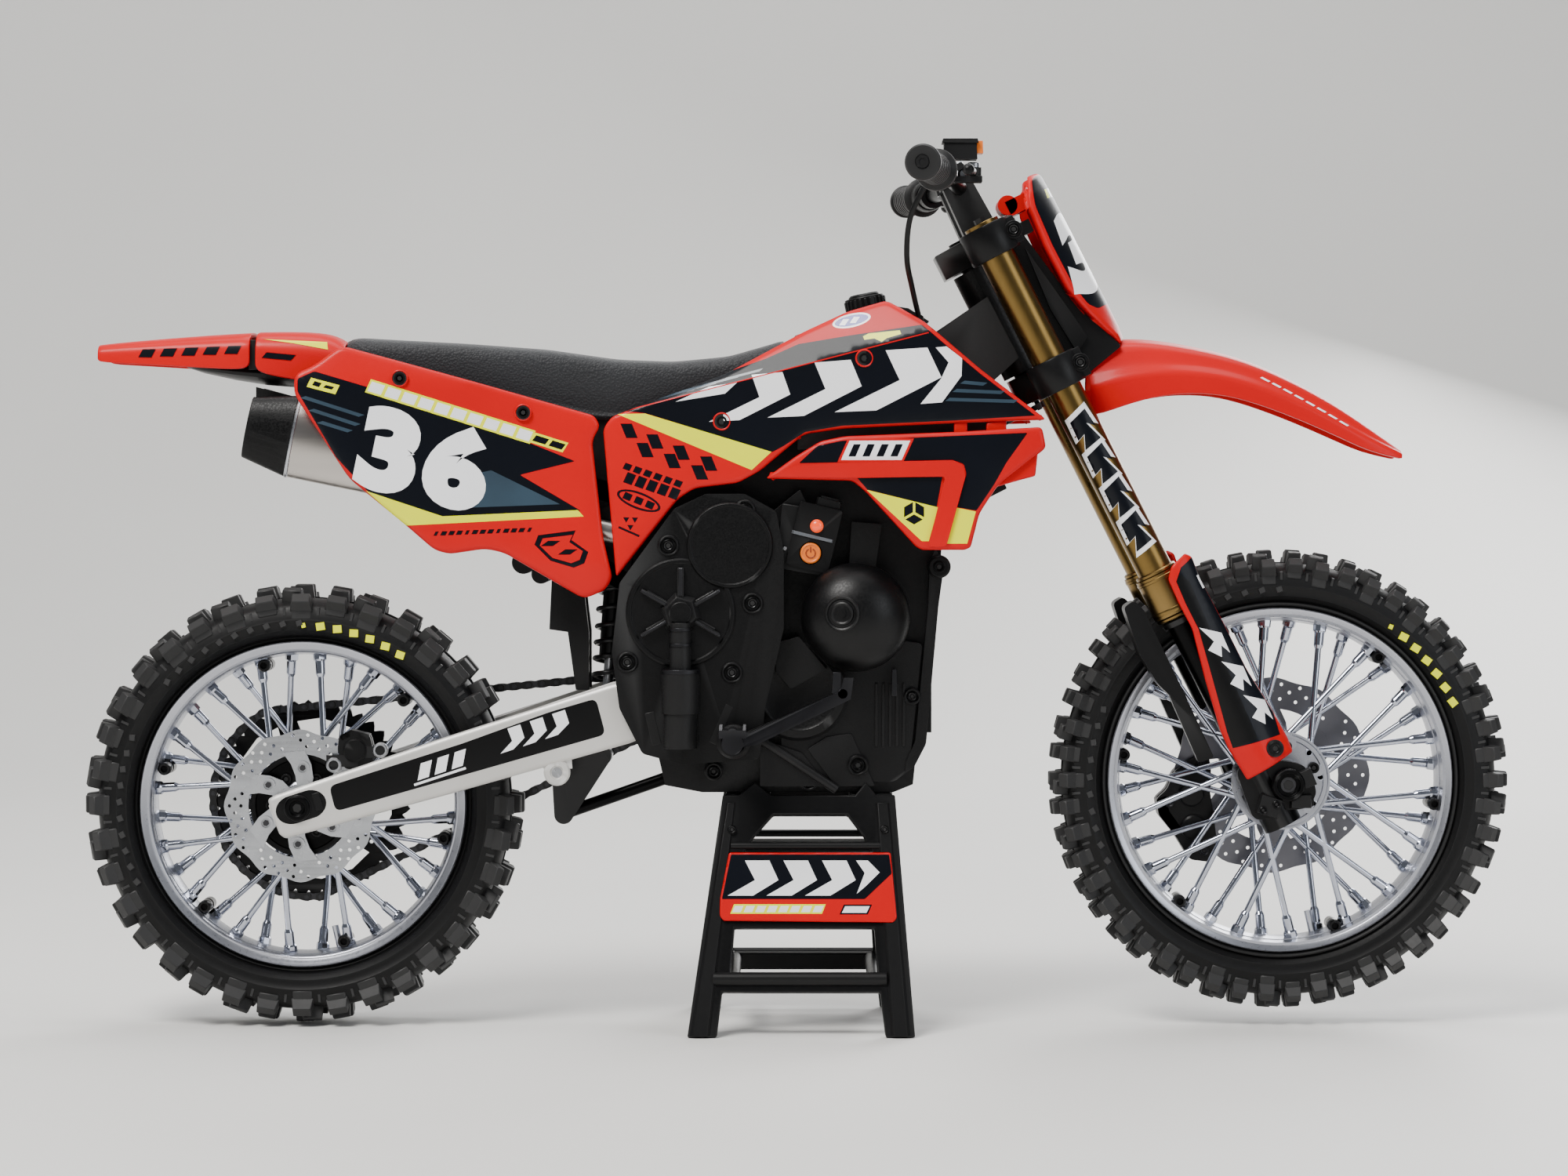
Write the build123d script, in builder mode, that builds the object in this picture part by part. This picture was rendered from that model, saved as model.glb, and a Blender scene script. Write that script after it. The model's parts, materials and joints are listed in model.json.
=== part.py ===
"""Quarter-scale radio-controlled motocross bike on its stand, in millimetres.

+X is forward, +Y is the rider's left and +Z is up. The origin is on the floor,
midway between the two ends of the tyres, on the bike's middle plane.
"""

from build123d import *
import os
from math import cos, degrees, radians, sin, atan2

os.makedirs("parts", exist_ok=True)

# ---- driving dimensions -------------------------------------------------------
wheelbase = 372.0
rear_tyre_radius = 84.0
front_tyre_radius = 88.0
rear_tyre_half_width = 15.0
front_tyre_half_width = 12.0
rear_rim_radius = 62.0
front_rim_radius = 65.5
rake_angle = 26.8
fork_spacing = 52.0
rear_axle_height = 84.3
front_axle_height = 93.5
bar_width = 200.0
running_fit = 0.05
open_fit = 0.55

# ---- places worked out from them ----------------------------------------------
half_length = (wheelbase + rear_tyre_radius + front_tyre_radius) / 2
rear_axle = Vector(rear_tyre_radius - half_length, 0, rear_axle_height)
front_axle = Vector(half_length - front_tyre_radius, 0, front_axle_height)
up_fork = Vector(-sin(radians(rake_angle)), 0, cos(radians(rake_angle)))
ahead_fork = Vector(cos(radians(rake_angle)), 0, sin(radians(rake_angle)))
stem_point = Vector(89.4, 0, 243.4)
leg_offset = 9.0
leg_y = fork_spacing / 2
pivot = Vector(-41.0, 0, 126.5)
frame_inner = 12.5
frame_outer = 15.5
arm_inner = 21.5
arm_outer = 26.5

# rear linkage pins: rocker on arm, shock on rocker, rod on rocker, rod on frame, shock top
rocker_pin = Vector(-90.0, 0, 98.0)
shock_foot_pin = Vector(-74.3, 0, 102.6)
rod_pin = Vector(-89.0, 0, 80.0)
frame_rod_pin = Vector(-43.5, 0, 95.9)
shock_top_pin = Vector(-68.0, 0, 190.0)

# drive train centres
motor_point = Vector(-22.0, 0, 140.0)
flywheel_point = Vector(-25.5, 0, 183.0)
peg_point = Vector(-24.0, 0, 110.0)
bumper_point = Vector(21.9, 0, 156.2)


def side_plane(y):
    """A standing plane that faces the rider's right, at the given y."""
    return Plane(origin=(0, y, 0), x_dir=(1, 0, 0), z_dir=(0, -1, 0))


def fork_plane(height):
    """A plane square to the steering axis, this far above the lower clamp."""
    return Plane(origin=stem_point + up_fork * height, x_dir=ahead_fork, z_dir=up_fork)


def fork_place(height, ahead, y=0.0):
    """A point given along and ahead of the steering axis."""
    point = stem_point + up_fork * height + ahead_fork * ahead
    return Vector(point.X, y, point.Z)


def plate(points, y_from, y_to, mode=Mode.ADD):
    """A flat piece with this outline, between two y values."""
    with BuildSketch(side_plane(y_from)) as profile:
        with BuildLine():
            Polyline(*points, close=True)
        make_face()
    extrude(profile.sketch, amount=y_from - y_to, mode=mode)


def rod(start, end, radius, mode=Mode.ADD):
    """A round bar between two points."""
    start = Vector(start)
    run = Vector(end) - start
    with BuildSketch(Plane(origin=start, z_dir=run)) as profile:
        Circle(radius)
    extrude(profile.sketch, amount=run.length, mode=mode)


def cross_rod(centre, y_from, y_to, radius, mode=Mode.ADD):
    """A round bar along Y, on a centre given by its x and z."""
    rod((centre.X, y_from, centre.Z), (centre.X, y_to, centre.Z), radius, mode)


def block(x_span, y_span, z_span, mode=Mode.ADD):
    """A box between two x, two y and two z values."""
    sizes = [span[1] - span[0] for span in (x_span, y_span, z_span)]
    middles = [(span[0] + span[1]) / 2 for span in (x_span, y_span, z_span)]
    with Locations(tuple(middles)):
        Box(*sizes, mode=mode)


# ==== stand ====================================================================
stand_height = 89.0
stand_lean = degrees(atan2(45.0 - 23.0, stand_height))
stand_slope = stand_height / cos(radians(stand_lean))
stand_wall = 5.0

stand_face = Plane(
    origin=(0, -45, 0),
    x_dir=(1, 0, 0),
    z_dir=(0, -cos(radians(stand_lean)), sin(radians(stand_lean))),
)

with BuildPart() as stand_sides:
    with BuildSketch(stand_face) as side_frame:
        with BuildLine():
            Polyline(
                (-41, 0), (-28, stand_slope), (-22, stand_slope), (-16, stand_slope + 5),
                (-10, stand_slope), (22, stand_slope), (26, stand_slope + 5),
                (30, stand_slope), (37, stand_slope), (44, 0), (33, 0), (31, 17),
                (-28, 17), (-30, 0), close=True,
            )
        make_face()
        with BuildLine():
            Polyline((-25, 24), (-23.5, 41), (29, 41), (30, 24), close=True)
        make_face(mode=Mode.SUBTRACT)
        with BuildLine():
            Polyline(
                (-20, 70), (-16, 76), (-9, 84), (19, 84), (25, 76), (28, 70), close=True
            )
        make_face(mode=Mode.SUBTRACT)
    extrude(side_frame.sketch, amount=-stand_wall)
    block((-60, 60), (-60, 0), (-10, 0), mode=Mode.SUBTRACT)
    mirror(about=Plane.XZ)
stand_sides.part.label = "stand_sides"
export_step(stand_sides.part, "parts/stand_sides.step")

with BuildPart() as stand_top:
    block((-27, 36), (-18.6, 18.6), (84, stand_height))
    block((-10, 20), (-18.6, 18.6), (83, 90), mode=Mode.SUBTRACT)
    for rung_x in (-24, 29):
        rod((rung_x, -37.5, 20), (rung_x, 37.5, 20), 2.5)
stand_top.part.label = "stand_top"
export_step(stand_top.part, "parts/stand_top.step")

# ==== frame ====================================================================
frame_side = [
    (84, 254), (72, 277), (50, 262), (20, 238), (-20, 214), (-52, 204), (-74, 197),
    (-74, 184), (-62, 178), (-60, 150), (-56, 118), (-50, 92), (-36, 89.3),
    (36.6, 89.3), (44, 92.3), (51.4, 163.4), (54.4, 176.8), (56, 200), (60, 232),
]

with BuildPart() as main_frame:
    for side in (-1, 1):
        plate(frame_side, side * frame_inner, side * frame_outer)
        plate(
            [(-60, 196), (-60, 204), (-205, 243), (-205, 236.5)], side * 10, side * 13
        )
        plate(
            [(-62, 162), (-62, 171), (-150, 230), (-150, 223)], side * 10, side * 13
        )
        plate(
            [(-96, 192), (-83, 184), (-79, 150), (-79, 128), (-84, 128), (-87, 150),
             (-94, 151), (-93, 172)],
            side * 8.5, side * 12.4,
        )
    block((-36, 36), (-frame_outer, frame_outer), (89.3, 92))
    block((46, 51), (-frame_outer, frame_outer), (112, 162))
    block((-204, -196), (-13, 13), (236, 240))
    block((-62, -58), (-frame_outer, frame_outer), (198, 203))
    plate([(84, 254), (72, 277), (56, 266), (66, 246)], -frame_outer, frame_outer)
    rod(fork_place(6.3, 0), fork_place(49.7, 0), 8)
    rod(fork_place(0, 0), fork_place(60, 0), 4 + running_fit, mode=Mode.SUBTRACT)
    plate([(-3.5, 174), (-3.5, 198), (12.5, 196), (12.5, 173)], -10, -20, Mode.SUBTRACT)
    for side in (-1, 1):
        plate(
            [(-2, 104), (-2, 138), (35, 138), (32, 104)], side * 10, side * 20,
            Mode.SUBTRACT,
        )
        plate(
            [(22, 206), (24, 226), (50, 246), (48, 206)], side * 10, side * 20,
            Mode.SUBTRACT,
        )
    cross_rod(motor_point, 10, 20, 13.2, mode=Mode.SUBTRACT)
    cross_rod(pivot, 10, 20, 4.6, mode=Mode.SUBTRACT)
    cross_rod(pivot, -28, 28, 2)
    cross_rod(frame_rod_pin, -frame_outer, frame_outer, 1.5)
    cross_rod(shock_top_pin, -frame_outer, frame_outer, 1.5)
main_frame.part.label = "main_frame"
export_step(main_frame.part, "parts/main_frame.step")

# ==== drive ====================================================================
case_outline = [
    (-60, 168), (-46, 195), (-34, 201), (-17, 201), (-7.5, 194), (-6, 150), (-12, 122),
    (-18, 104), (-44, 102), (-57, 107), (-61.5, 120), (-61.5, 143),
]
gear_radius = 17.3
pinion_radius = 5.4
wheel_chamber = 16.6

with BuildPart() as crankcase:
    plate(case_outline, -12, 12)
    cross_rod(pivot, -13, 13, 4 + running_fit, mode=Mode.SUBTRACT)
    cross_rod(pivot, -13, -5, gear_radius + 0.8, mode=Mode.SUBTRACT)
    cross_rod(motor_point, -13, -4, pinion_radius + 1, mode=Mode.SUBTRACT)
    cross_rod(motor_point, -3.6, 13, 12.55, mode=Mode.SUBTRACT)
    cross_rod(motor_point, -5, -3, 3, mode=Mode.SUBTRACT)
    cross_rod(flywheel_point, -13, -2.4, wheel_chamber, mode=Mode.SUBTRACT)
    cross_rod(flywheel_point, -3, 9, 2 + running_fit, mode=Mode.SUBTRACT)
crankcase.part.label = "crankcase"
export_step(crankcase.part, "parts/crankcase.step")

with BuildPart() as gear_cover:
    plate(
        [(-66.6, 169), (-46, 197), (-34, 202.5), (-19.6, 202.5), (-7.8, 196), (-5, 181),
         (-5, 152), (-12, 122), (-14, 103), (-43, 101), (-58, 105), (-66.6, 122),
         (-69.5, 143)],
        -28.2, -32,
    )
    fillet(gear_cover.edges().filter_by(Axis.Y), 3)
    plate(
        [(-58, 166), (-45, 194), (-34, 199.5), (-20, 199.5), (-10, 194), (-8, 166)],
        -frame_outer, -28.2,
    )
    cross_rod(Vector(-28, 0, 184), -32, -33, 13)
    cross_rod(Vector(-43.7, 0, 158.6), -32, -35, 5)
    for spoke_angle in range(30, 331, 60):
        spoke_run = Vector(cos(radians(spoke_angle)), 0, sin(radians(spoke_angle)))
        spoke_end = Vector(-43.7, -32.8, 158.6) + spoke_run * 14.5
        rod((-43.7, -32.8, 158.6), spoke_end, 1)
    block((-46.5, -40), (-34.5, -32), (134, 156))
    cross_rod(peg_point, -25, -40, 4.7, mode=Mode.SUBTRACT)
gear_cover.part.label = "gear_cover"
export_step(gear_cover.part, "parts/gear_cover.step")

screw_places = [(-49, 181), (-20, 199), (-13, 162), (-17.5, 133), (-63.5, 139.5)]
with BuildPart() as cover_screws:
    for screw_x, screw_z in screw_places:
        cross_rod(Vector(screw_x, 0, screw_z), -32.02, -34, 2.4)
        cross_rod(Vector(screw_x, 0, screw_z), -33.2, -35, 1.1, mode=Mode.SUBTRACT)
cover_screws.part.label = "cover_screws"
export_step(cover_screws.part, "parts/cover_screws.step")

with BuildPart() as drive_motor:
    cross_rod(motor_point, -3.5, 20.8, 12.5)
    cross_rod(motor_point, -4, 1, 1.5 + running_fit, mode=Mode.SUBTRACT)
    fillet(drive_motor.edges().group_by(Axis.Y)[-1], 1.5)
drive_motor.part.label = "drive_motor"
export_step(drive_motor.part, "parts/drive_motor.step")


def gear_disc(centre, y_from, y_to, radius, teeth, notch):
    """A toothed disc: round notches cut all round the rim."""
    cross_rod(centre, y_from, y_to, radius)
    for tooth in range(teeth):
        angle = radians(360 / teeth * tooth)
        notch_centre = centre + Vector(cos(angle), 0, sin(angle)) * (radius + notch * 0.2)
        cross_rod(notch_centre, y_from, y_to, notch, mode=Mode.SUBTRACT)


with BuildPart() as motor_pinion:
    gear_disc(motor_point, -9.6, -6, pinion_radius, 14, 0.6)
    cross_rod(motor_point, -7, 0.8, 1.5)
motor_pinion.part.label = "motor_pinion"
export_step(motor_pinion.part, "parts/motor_pinion.step")

with BuildPart() as countershaft:
    gear_disc(pivot, -9.6, -6, gear_radius, 44, 0.6)
    cross_rod(pivot, -7, 20.4, 4)
    gear_disc(pivot, 17.4, 19.6, 8.6, 10, 1.6)
    cross_rod(pivot, -12, 22, 2.4, mode=Mode.SUBTRACT)
countershaft.part.label = "countershaft"
export_step(countershaft.part, "parts/countershaft.step")

with BuildPart() as flywheel:
    cross_rod(flywheel_point, -10, -3, 15.5)
    cross_rod(flywheel_point, -12, -7, 9, mode=Mode.SUBTRACT)
    cross_rod(flywheel_point, -10, 8.5, 2)
flywheel.part.label = "flywheel"
export_step(flywheel.part, "parts/flywheel.step")

# ==== electrics ================================================================
with BuildPart() as battery_pack:
    block((-3, 36), (-12, 12), (94, 160))
    fillet(battery_pack.edges().filter_by(Axis.Z), 2)
battery_pack.part.label = "battery_pack"
export_step(battery_pack.part, "parts/battery_pack.step")

button_point = Vector(5.1, 0, 180.2)
with BuildPart() as control_module:
    block((-3, 38), (-11.5, 11.5), (164, 196))
    block((-2.5, 11.5), (-18, -11.5), (176, 195))
    plate([(-5.5, 199), (12.7, 195.8), (9.8, 171.5), (-8.5, 174.7)], -18, -27)
    cross_rod(button_point, -25, -28, 4.4, mode=Mode.SUBTRACT)
control_module.part.label = "control_module"
export_step(control_module.part, "parts/control_module.step")

with BuildPart() as power_button:
    cross_rod(button_point, -26.1, -28.6, 4)
power_button.part.label = "power_button"
export_step(power_button.part, "parts/power_button.step")

servo_back = 34.0
horn_reach = 9.0
with BuildPart() as steering_servo:
    with BuildSketch(fork_plane(-13.5)) as servo_outline:
        with Locations((-servo_back - 2, 0)):
            Rectangle(20, 18)
    extrude(servo_outline.sketch, amount=-17)
    with BuildSketch(fork_plane(-20)) as servo_ears:
        with Locations((-servo_back - 2, 0)):
            Rectangle(8, 24.9)
    extrude(servo_ears.sketch, amount=-3)
    rod(fork_place(-13.5, -servo_back), fork_place(-9.5, -servo_back), 1.8)
steering_servo.part.label = "steering_servo"
export_step(steering_servo.part, "parts/steering_servo.step")

with BuildPart() as servo_horn:
    rod(fork_place(-12.6, -servo_back), fork_place(-9.6, -servo_back), 3.6)
    rod(
        fork_place(-12.6, -servo_back, horn_reach),
        fork_place(-9.6, -servo_back, horn_reach), 2.6,
    )
    with BuildSketch(fork_plane(-12.6)) as horn_web:
        with Locations((-servo_back, horn_reach / 2)):
            Rectangle(4.6, horn_reach)
    extrude(horn_web.sketch, amount=3)
    rod(
        fork_place(-13, -servo_back), fork_place(-9, -servo_back), 1.8 + running_fit,
        mode=Mode.SUBTRACT,
    )
    rod(
        fork_place(-11, -servo_back, horn_reach),
        fork_place(-6.8, -servo_back, horn_reach), 1,
    )
servo_horn.part.label = "servo_horn"
export_step(servo_horn.part, "parts/servo_horn.step")

with BuildPart() as steering_link:
    for eye_ahead in (-servo_back, 0):
        rod(
            fork_place(-9.2, eye_ahead, horn_reach), fork_place(-7, eye_ahead, horn_reach),
            2.4,
        )
    rod(
        fork_place(-8.1, -servo_back, horn_reach), fork_place(-8.1, 0, horn_reach), 1,
    )
    for eye_ahead in (-servo_back, 0):
        rod(
            fork_place(-10, eye_ahead, horn_reach), fork_place(-6, eye_ahead, horn_reach),
            1 + running_fit, mode=Mode.SUBTRACT,
        )
steering_link.part.label = "steering_link"
export_step(steering_link.part, "parts/steering_link.step")

# ==== bodywork =================================================================
with BuildPart() as crash_bumpers:
    with BuildSketch(Plane(origin=bumper_point, x_dir=(1, 0, 0), z_dir=(0, 0, 1))) as dome:
        with BuildLine():
            Line((0, -frame_outer), (5, -frame_outer))
            Line((5, -frame_outer), (5, -28))
            Line((5, -28), (20.5, -28))
            Line((20.5, -28), (20.5, -31))
            ThreePointArc((20.5, -31), (15.5, -41), (0, -45.5))
            Line((0, -45.5), (0, -frame_outer))
        make_face()
    revolve(dome.sketch, axis=Axis(bumper_point, (0, 1, 0)))
    cross_rod(bumper_point, -44, -46, 3, mode=Mode.SUBTRACT)
    mirror(about=Plane.XZ)
crash_bumpers.part.label = "crash_bumpers"
export_step(crash_bumpers.part, "parts/crash_bumpers.step")

with BuildPart() as foot_pegs:
    for side in (-1, 1):
        cross_rod(peg_point, side * frame_outer, side * 52, 4)
        block((-29, -19), sorted((side * 36, side * 52)), (112, 115))
    plate(
        [(-26, 107), (-15, 109), (20, 126), (21, 134), (17.5, 134), (16, 129),
         (-17, 114), (-26, 113)],
        -37, -41,
    )
foot_pegs.part.label = "foot_pegs"
export_step(foot_pegs.part, "parts/foot_pegs.step")

with BuildPart() as seat:
    with BuildSketch(side_plane(-14)) as seat_side:
        with BuildLine():
            Spline(
                (-173, 261.5), (-125, 259), (-95, 257), (-65, 253), (-45, 252.5),
                (-26, 254.5), (-3, 260.5),
            )
            Polyline(
                (-3, 260.5), (-3, 247), (-60, 236), (-110, 241), (-172, 251),
                (-173, 261.5),
            )
        make_face()
    extrude(seat_side.sketch, amount=-28)
seat.part.label = "seat"
export_step(seat.part, "parts/seat.step")

with BuildPart() as tank_cover:
    plate([(-1, 250), (-1, 262), (32, 274), (42, 272.5), (50, 267.5), (44, 262), (20, 244)],
          -20, 20)
    rod((27.8, 0, 267), (25.7, 0, 277.6), 7.6)
tank_cover.part.label = "tank_cover"
export_step(tank_cover.part, "parts/tank_cover.step")

# each side panel leans outwards to the front (shrouds) or the back (side plates)
shroud_plane = Plane(
    origin=(-70, -28, 0), x_dir=(167, -14, 0), z_dir=(-14, -167, 0)
)
shroud_stretch = Vector(167, 14, 0).length / 167
wing_start = 3.5


def leaning_plate(plane, stretch, points, near, far, mode=Mode.ADD):
    """A plate whose outline is given by x and z, on a plane that leans in plan."""
    with BuildSketch(plane.offset(-near)) as profile:
        with BuildLine():
            Polyline(
                *[((x - plane.origin.X) * stretch, z) for x, z in points], close=True
            )
        make_face()
    extrude(profile.sketch, amount=near - far, mode=mode)


with BuildPart() as shrouds:
    leaning_plate(
        shroud_plane, shroud_stretch,
        [(34, 274.5), (2, 263), (-26, 247.5), (-70, 231), (-72.5, 227), (-67, 171.5),
         (-46, 199), (-34, 206), (-9, 219.5), (-3, 216), (30, 214), (98, 224),
         (94, 229), (58.5, 262)],
        0, 2.5,
    )
    leaning_plate(
        shroud_plane, shroud_stretch,
        [(-12, 208), (12.5, 226), (90, 228), (97.5, 222), (83, 195.5), (72.5, 204.5),
         (65.5, 184), (62, 181.5), (48, 181.5), (26, 203), (18, 208)],
        -wing_start, -wing_start + 2.5,
    )
    leaning_plate(
        shroud_plane, shroud_stretch, [(0, 217), (12, 225), (90, 227), (92, 224), (30, 217)],
        -wing_start + 2.5, 0,
    )
    mirror(about=Plane.XZ)
shrouds.part.label = "shrouds"
export_step(shrouds.part, "parts/shrouds.step")

side_plate_plane = Plane(
    origin=(-70, -29, 0), x_dir=(117, 9, 0), z_dir=(9, -117, 0)
)
with BuildPart() as side_plates:
    leaning_plate(
        side_plate_plane, Vector(117, 9, 0).length / 117,
        [(-186.5, 246.5), (-170, 257.5), (-150.5, 252.5), (-75, 232), (-69.5, 171),
         (-71, 168), (-80, 163), (-106.5, 179), (-117, 182), (-134, 180), (-139, 182),
         (-158, 199), (-186.5, 238.5)],
        0, 2.5,
    )
    mirror(about=Plane.XZ)
side_plates.part.label = "side_plates"
export_step(side_plates.part, "parts/side_plates.step")

with BuildPart() as rear_fender:
    plate(
        [(-265, 254), (-265, 258), (-209, 262.5), (-176, 262.5), (-176, 246),
         (-205, 244), (-233, 250.5)],
        -18, 18,
    )
    with BuildSketch(Plane.XY.offset(240)) as tail_taper:
        with BuildLine():
            Polyline((-266, -13), (-205, -18), (-205, -20), (-266, -20), close=True)
        make_face()
        mirror(about=Plane.XZ)
    extrude(tail_taper.sketch, amount=25, mode=Mode.SUBTRACT)
rear_fender.part.label = "rear_fender"
export_step(rear_fender.part, "parts/rear_fender.step")

muffler_start = Vector(-120, -22.6, 209.8)
muffler_end = Vector(-190, -24.8, 224.2)
muffler_run = muffler_end - muffler_start
with BuildPart() as muffler:
    with BuildSketch(Plane(muffler_start, x_dir=(0, 1, 0), z_dir=muffler_run)) as can:
        Ellipse(6.9, 15.5)
    extrude(can.sketch, amount=muffler_run.length)
    with BuildLine() as pipe_route:
        FilletPolyline(
            (-62, -20.5, 186), (-88, -20.5, 192), tuple(muffler_start + muffler_run * 0.05),
            radius=12,
        )
    with BuildSketch(Plane(pipe_route.line @ 0, z_dir=pipe_route.line % 0)) as pipe_ring:
        Circle(4)
    sweep(pipe_ring.sketch, path=pipe_route.line)
muffler.part.label = "muffler"
export_step(muffler.part, "parts/muffler.step")

with BuildPart() as muffler_cap:
    with BuildSketch(Plane(muffler_end, x_dir=(0, 1, 0), z_dir=muffler_run)) as cap_wide:
        Ellipse(6.9, 15.5)
    cap_plane = Plane(muffler_end + muffler_run.normalized() * 17, x_dir=(0, 1, 0),
                      z_dir=muffler_run)
    with BuildSketch(cap_plane) as cap_narrow:
        Ellipse(5.6, 11.5)
    loft([cap_wide.sketch.face(), cap_narrow.sketch.face()])
    rod(muffler_end + muffler_run.normalized() * 8, muffler_end + muffler_run.normalized() * 20,
        4, mode=Mode.SUBTRACT)
muffler_cap.part.label = "muffler_cap"
export_step(muffler_cap.part, "parts/muffler_cap.step")

# ==== steering =================================================================
tube_radius = 6.75
slider_radius = 5.5
clamp_boss = 9.2
lower_half = 5.5
upper_from = 50.5
upper_to = 60.5
bar_height = 79.4
bar_ahead = 8.3


with BuildPart() as lower_clamp:
    with BuildSketch(fork_plane(-lower_half)) as lower_shape:
        with Locations((leg_offset, leg_y), (leg_offset, -leg_y)):
            Circle(clamp_boss)
        with BuildLine():
            Polyline(
                (-7, -9), (2, -leg_y), (17, -leg_y), (16, -12), (16, 12), (17, leg_y),
                (2, leg_y), (-7, 9), close=True,
            )
        make_face()
        with Locations((leg_offset, leg_y), (leg_offset, -leg_y)):
            Circle(tube_radius, mode=Mode.SUBTRACT)
    extrude(lower_shape.sketch, amount=2 * lower_half)
    rod(fork_place(-lower_half, 0), fork_place(upper_to + 1.5, 0), 4)
    rod(
        fork_place(-lower_half, 0, horn_reach), fork_place(-9.6, 0, horn_reach), 1,
    )
lower_clamp.part.label = "lower_clamp"
export_step(lower_clamp.part, "parts/lower_clamp.step")

with BuildPart() as upper_clamp:
    with BuildSketch(fork_plane(upper_from)) as upper_shape:
        with Locations((leg_offset, leg_y), (leg_offset, -leg_y)):
            Circle(clamp_boss)
        with BuildLine():
            Polyline(
                (-11, -10), (2, -leg_y), (17, -leg_y), (17, -12), (17, 12), (17, leg_y),
                (2, leg_y), (-11, 10), close=True,
            )
        make_face()
        with Locations((leg_offset, leg_y), (leg_offset, -leg_y)):
            Circle(tube_radius, mode=Mode.SUBTRACT)
        Circle(4, mode=Mode.SUBTRACT)
    extrude(upper_shape.sketch, amount=upper_to - upper_from)
    with BuildSketch(fork_plane(upper_to)) as risers:
        with Locations((bar_ahead, 13), (bar_ahead, -13)):
            Rectangle(11, 7)
    extrude(risers.sketch, amount=bar_height - upper_to + 6)
    rod(
        fork_place(bar_height, bar_ahead, -18), fork_place(bar_height, bar_ahead, 18), 3,
        mode=Mode.SUBTRACT,
    )
upper_clamp.part.label = "upper_clamp"
export_step(upper_clamp.part, "parts/upper_clamp.step")

tube_top = 63.0
collar_top = -84.0
tube_bottom = -100.0
with BuildPart() as fork_tubes:
    rod(fork_place(tube_bottom, leg_offset, -leg_y), fork_place(tube_top, leg_offset, -leg_y),
        tube_radius)
    rod(fork_place(tube_bottom, leg_offset, -leg_y),
        fork_place(collar_top, leg_offset, -leg_y), 8.6)
    rod(fork_place(tube_bottom - 1, leg_offset, -leg_y),
        fork_place(45, leg_offset, -leg_y), slider_radius + running_fit,
        mode=Mode.SUBTRACT)
    mirror(about=Plane.XZ)
fork_tubes.part.label = "fork_tubes"
export_step(fork_tubes.part, "parts/fork_tubes.step")

bar_middle = fork_place(bar_height, bar_ahead)
bar_end = Vector(44.5, bar_width / 2 - 1.2, 321)
bar_bend = Vector(57, 38, 320)
with BuildPart() as handlebar:
    with BuildLine() as bar_route:
        FilletPolyline(
            (bar_end.X, -bar_end.Y, bar_end.Z), (bar_bend.X, -bar_bend.Y, bar_bend.Z),
            (bar_middle.X, -20, bar_middle.Z), (bar_middle.X, 20, bar_middle.Z),
            tuple(bar_bend), tuple(bar_end), radius=9,
        )
    with BuildSketch(Plane(bar_route.line @ 0, z_dir=bar_route.line % 0)) as bar_ring:
        Circle(3)
    sweep(bar_ring.sketch, path=bar_route.line)
handlebar.part.label = "handlebar"
export_step(handlebar.part, "parts/handlebar.step")

grip_run = (bar_bend - bar_end).normalized()
with BuildPart() as grips:
    rod(bar_end, bar_end + grip_run * 31, 5.6)
    rod(bar_end + grip_run * 29, bar_end + grip_run * 31, 7)
    rod(bar_end - grip_run, bar_end + grip_run * 32, 3, mode=Mode.SUBTRACT)
    mirror(about=Plane.XZ)
grips.part.label = "grips"
export_step(grips.part, "parts/grips.step")

perch_centre = bar_end + grip_run * 37
lever_pivot = perch_centre + Vector(12.5, -1, 0)
lever_tip = bar_end + Vector(16.5, -3, -2.5)


def perch_shape():
    """A ring on the left bar with a lug and a lever pin."""
    rod(perch_centre - grip_run * 3, perch_centre + grip_run * 3, 4.8)
    block((perch_centre.X + 3, lever_pivot.X + 3), (perch_centre.Y - 4, perch_centre.Y + 4),
          (lever_pivot.Z - 4, lever_pivot.Z - 1.9))
    rod(perch_centre - grip_run * 5, perch_centre + grip_run * 5, 3, mode=Mode.SUBTRACT)
    rod(lever_pivot - Vector(0, 0, 2.5), lever_pivot + Vector(0, 0, 2), 1)


with BuildPart() as control_perches:
    perch_shape()
    mirror(about=Plane.XZ)
    block((perch_centre.X + 2, perch_centre.X + 13), (-perch_centre.Y - 3, -perch_centre.Y + 4),
          (perch_centre.Z + 4.4, perch_centre.Z + 9))
control_perches.part.label = "control_perches"
export_step(control_perches.part, "parts/control_perches.step")


def lever_shape(side):
    """A hand lever: eye, blade and ball end, on the given side."""
    eye = Vector(lever_pivot.X, side * lever_pivot.Y, lever_pivot.Z)
    tip = Vector(lever_tip.X, side * lever_tip.Y, lever_tip.Z)
    rod(eye - Vector(0, 0, 1.5), eye + Vector(0, 0, 1.5), 3)
    rod(eye, tip, 1.4)
    with Locations(tuple(tip)):
        Sphere(2.2)
    rod(eye - Vector(0, 0, 3), eye + Vector(0, 0, 3), 1 + running_fit, mode=Mode.SUBTRACT)


with BuildPart() as brake_lever:
    lever_shape(-1)
brake_lever.part.label = "brake_lever"
export_step(brake_lever.part, "parts/brake_lever.step")

with BuildPart() as clutch_lever:
    lever_shape(1)
clutch_lever.part.label = "clutch_lever"
export_step(clutch_lever.part, "parts/clutch_lever.step")

with BuildPart() as number_plate:
    plate(
        [(80, 322), (87, 322.5), (98, 313), (123, 264.5), (119.5, 261.5), (114, 265),
         (93, 306), (84, 316)],
        -25, 25,
    )
    rod(fork_place(55, 17.05), fork_place(55, 33), 3.5)
number_plate.part.label = "number_plate"
export_step(number_plate.part, "parts/number_plate.step")

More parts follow.
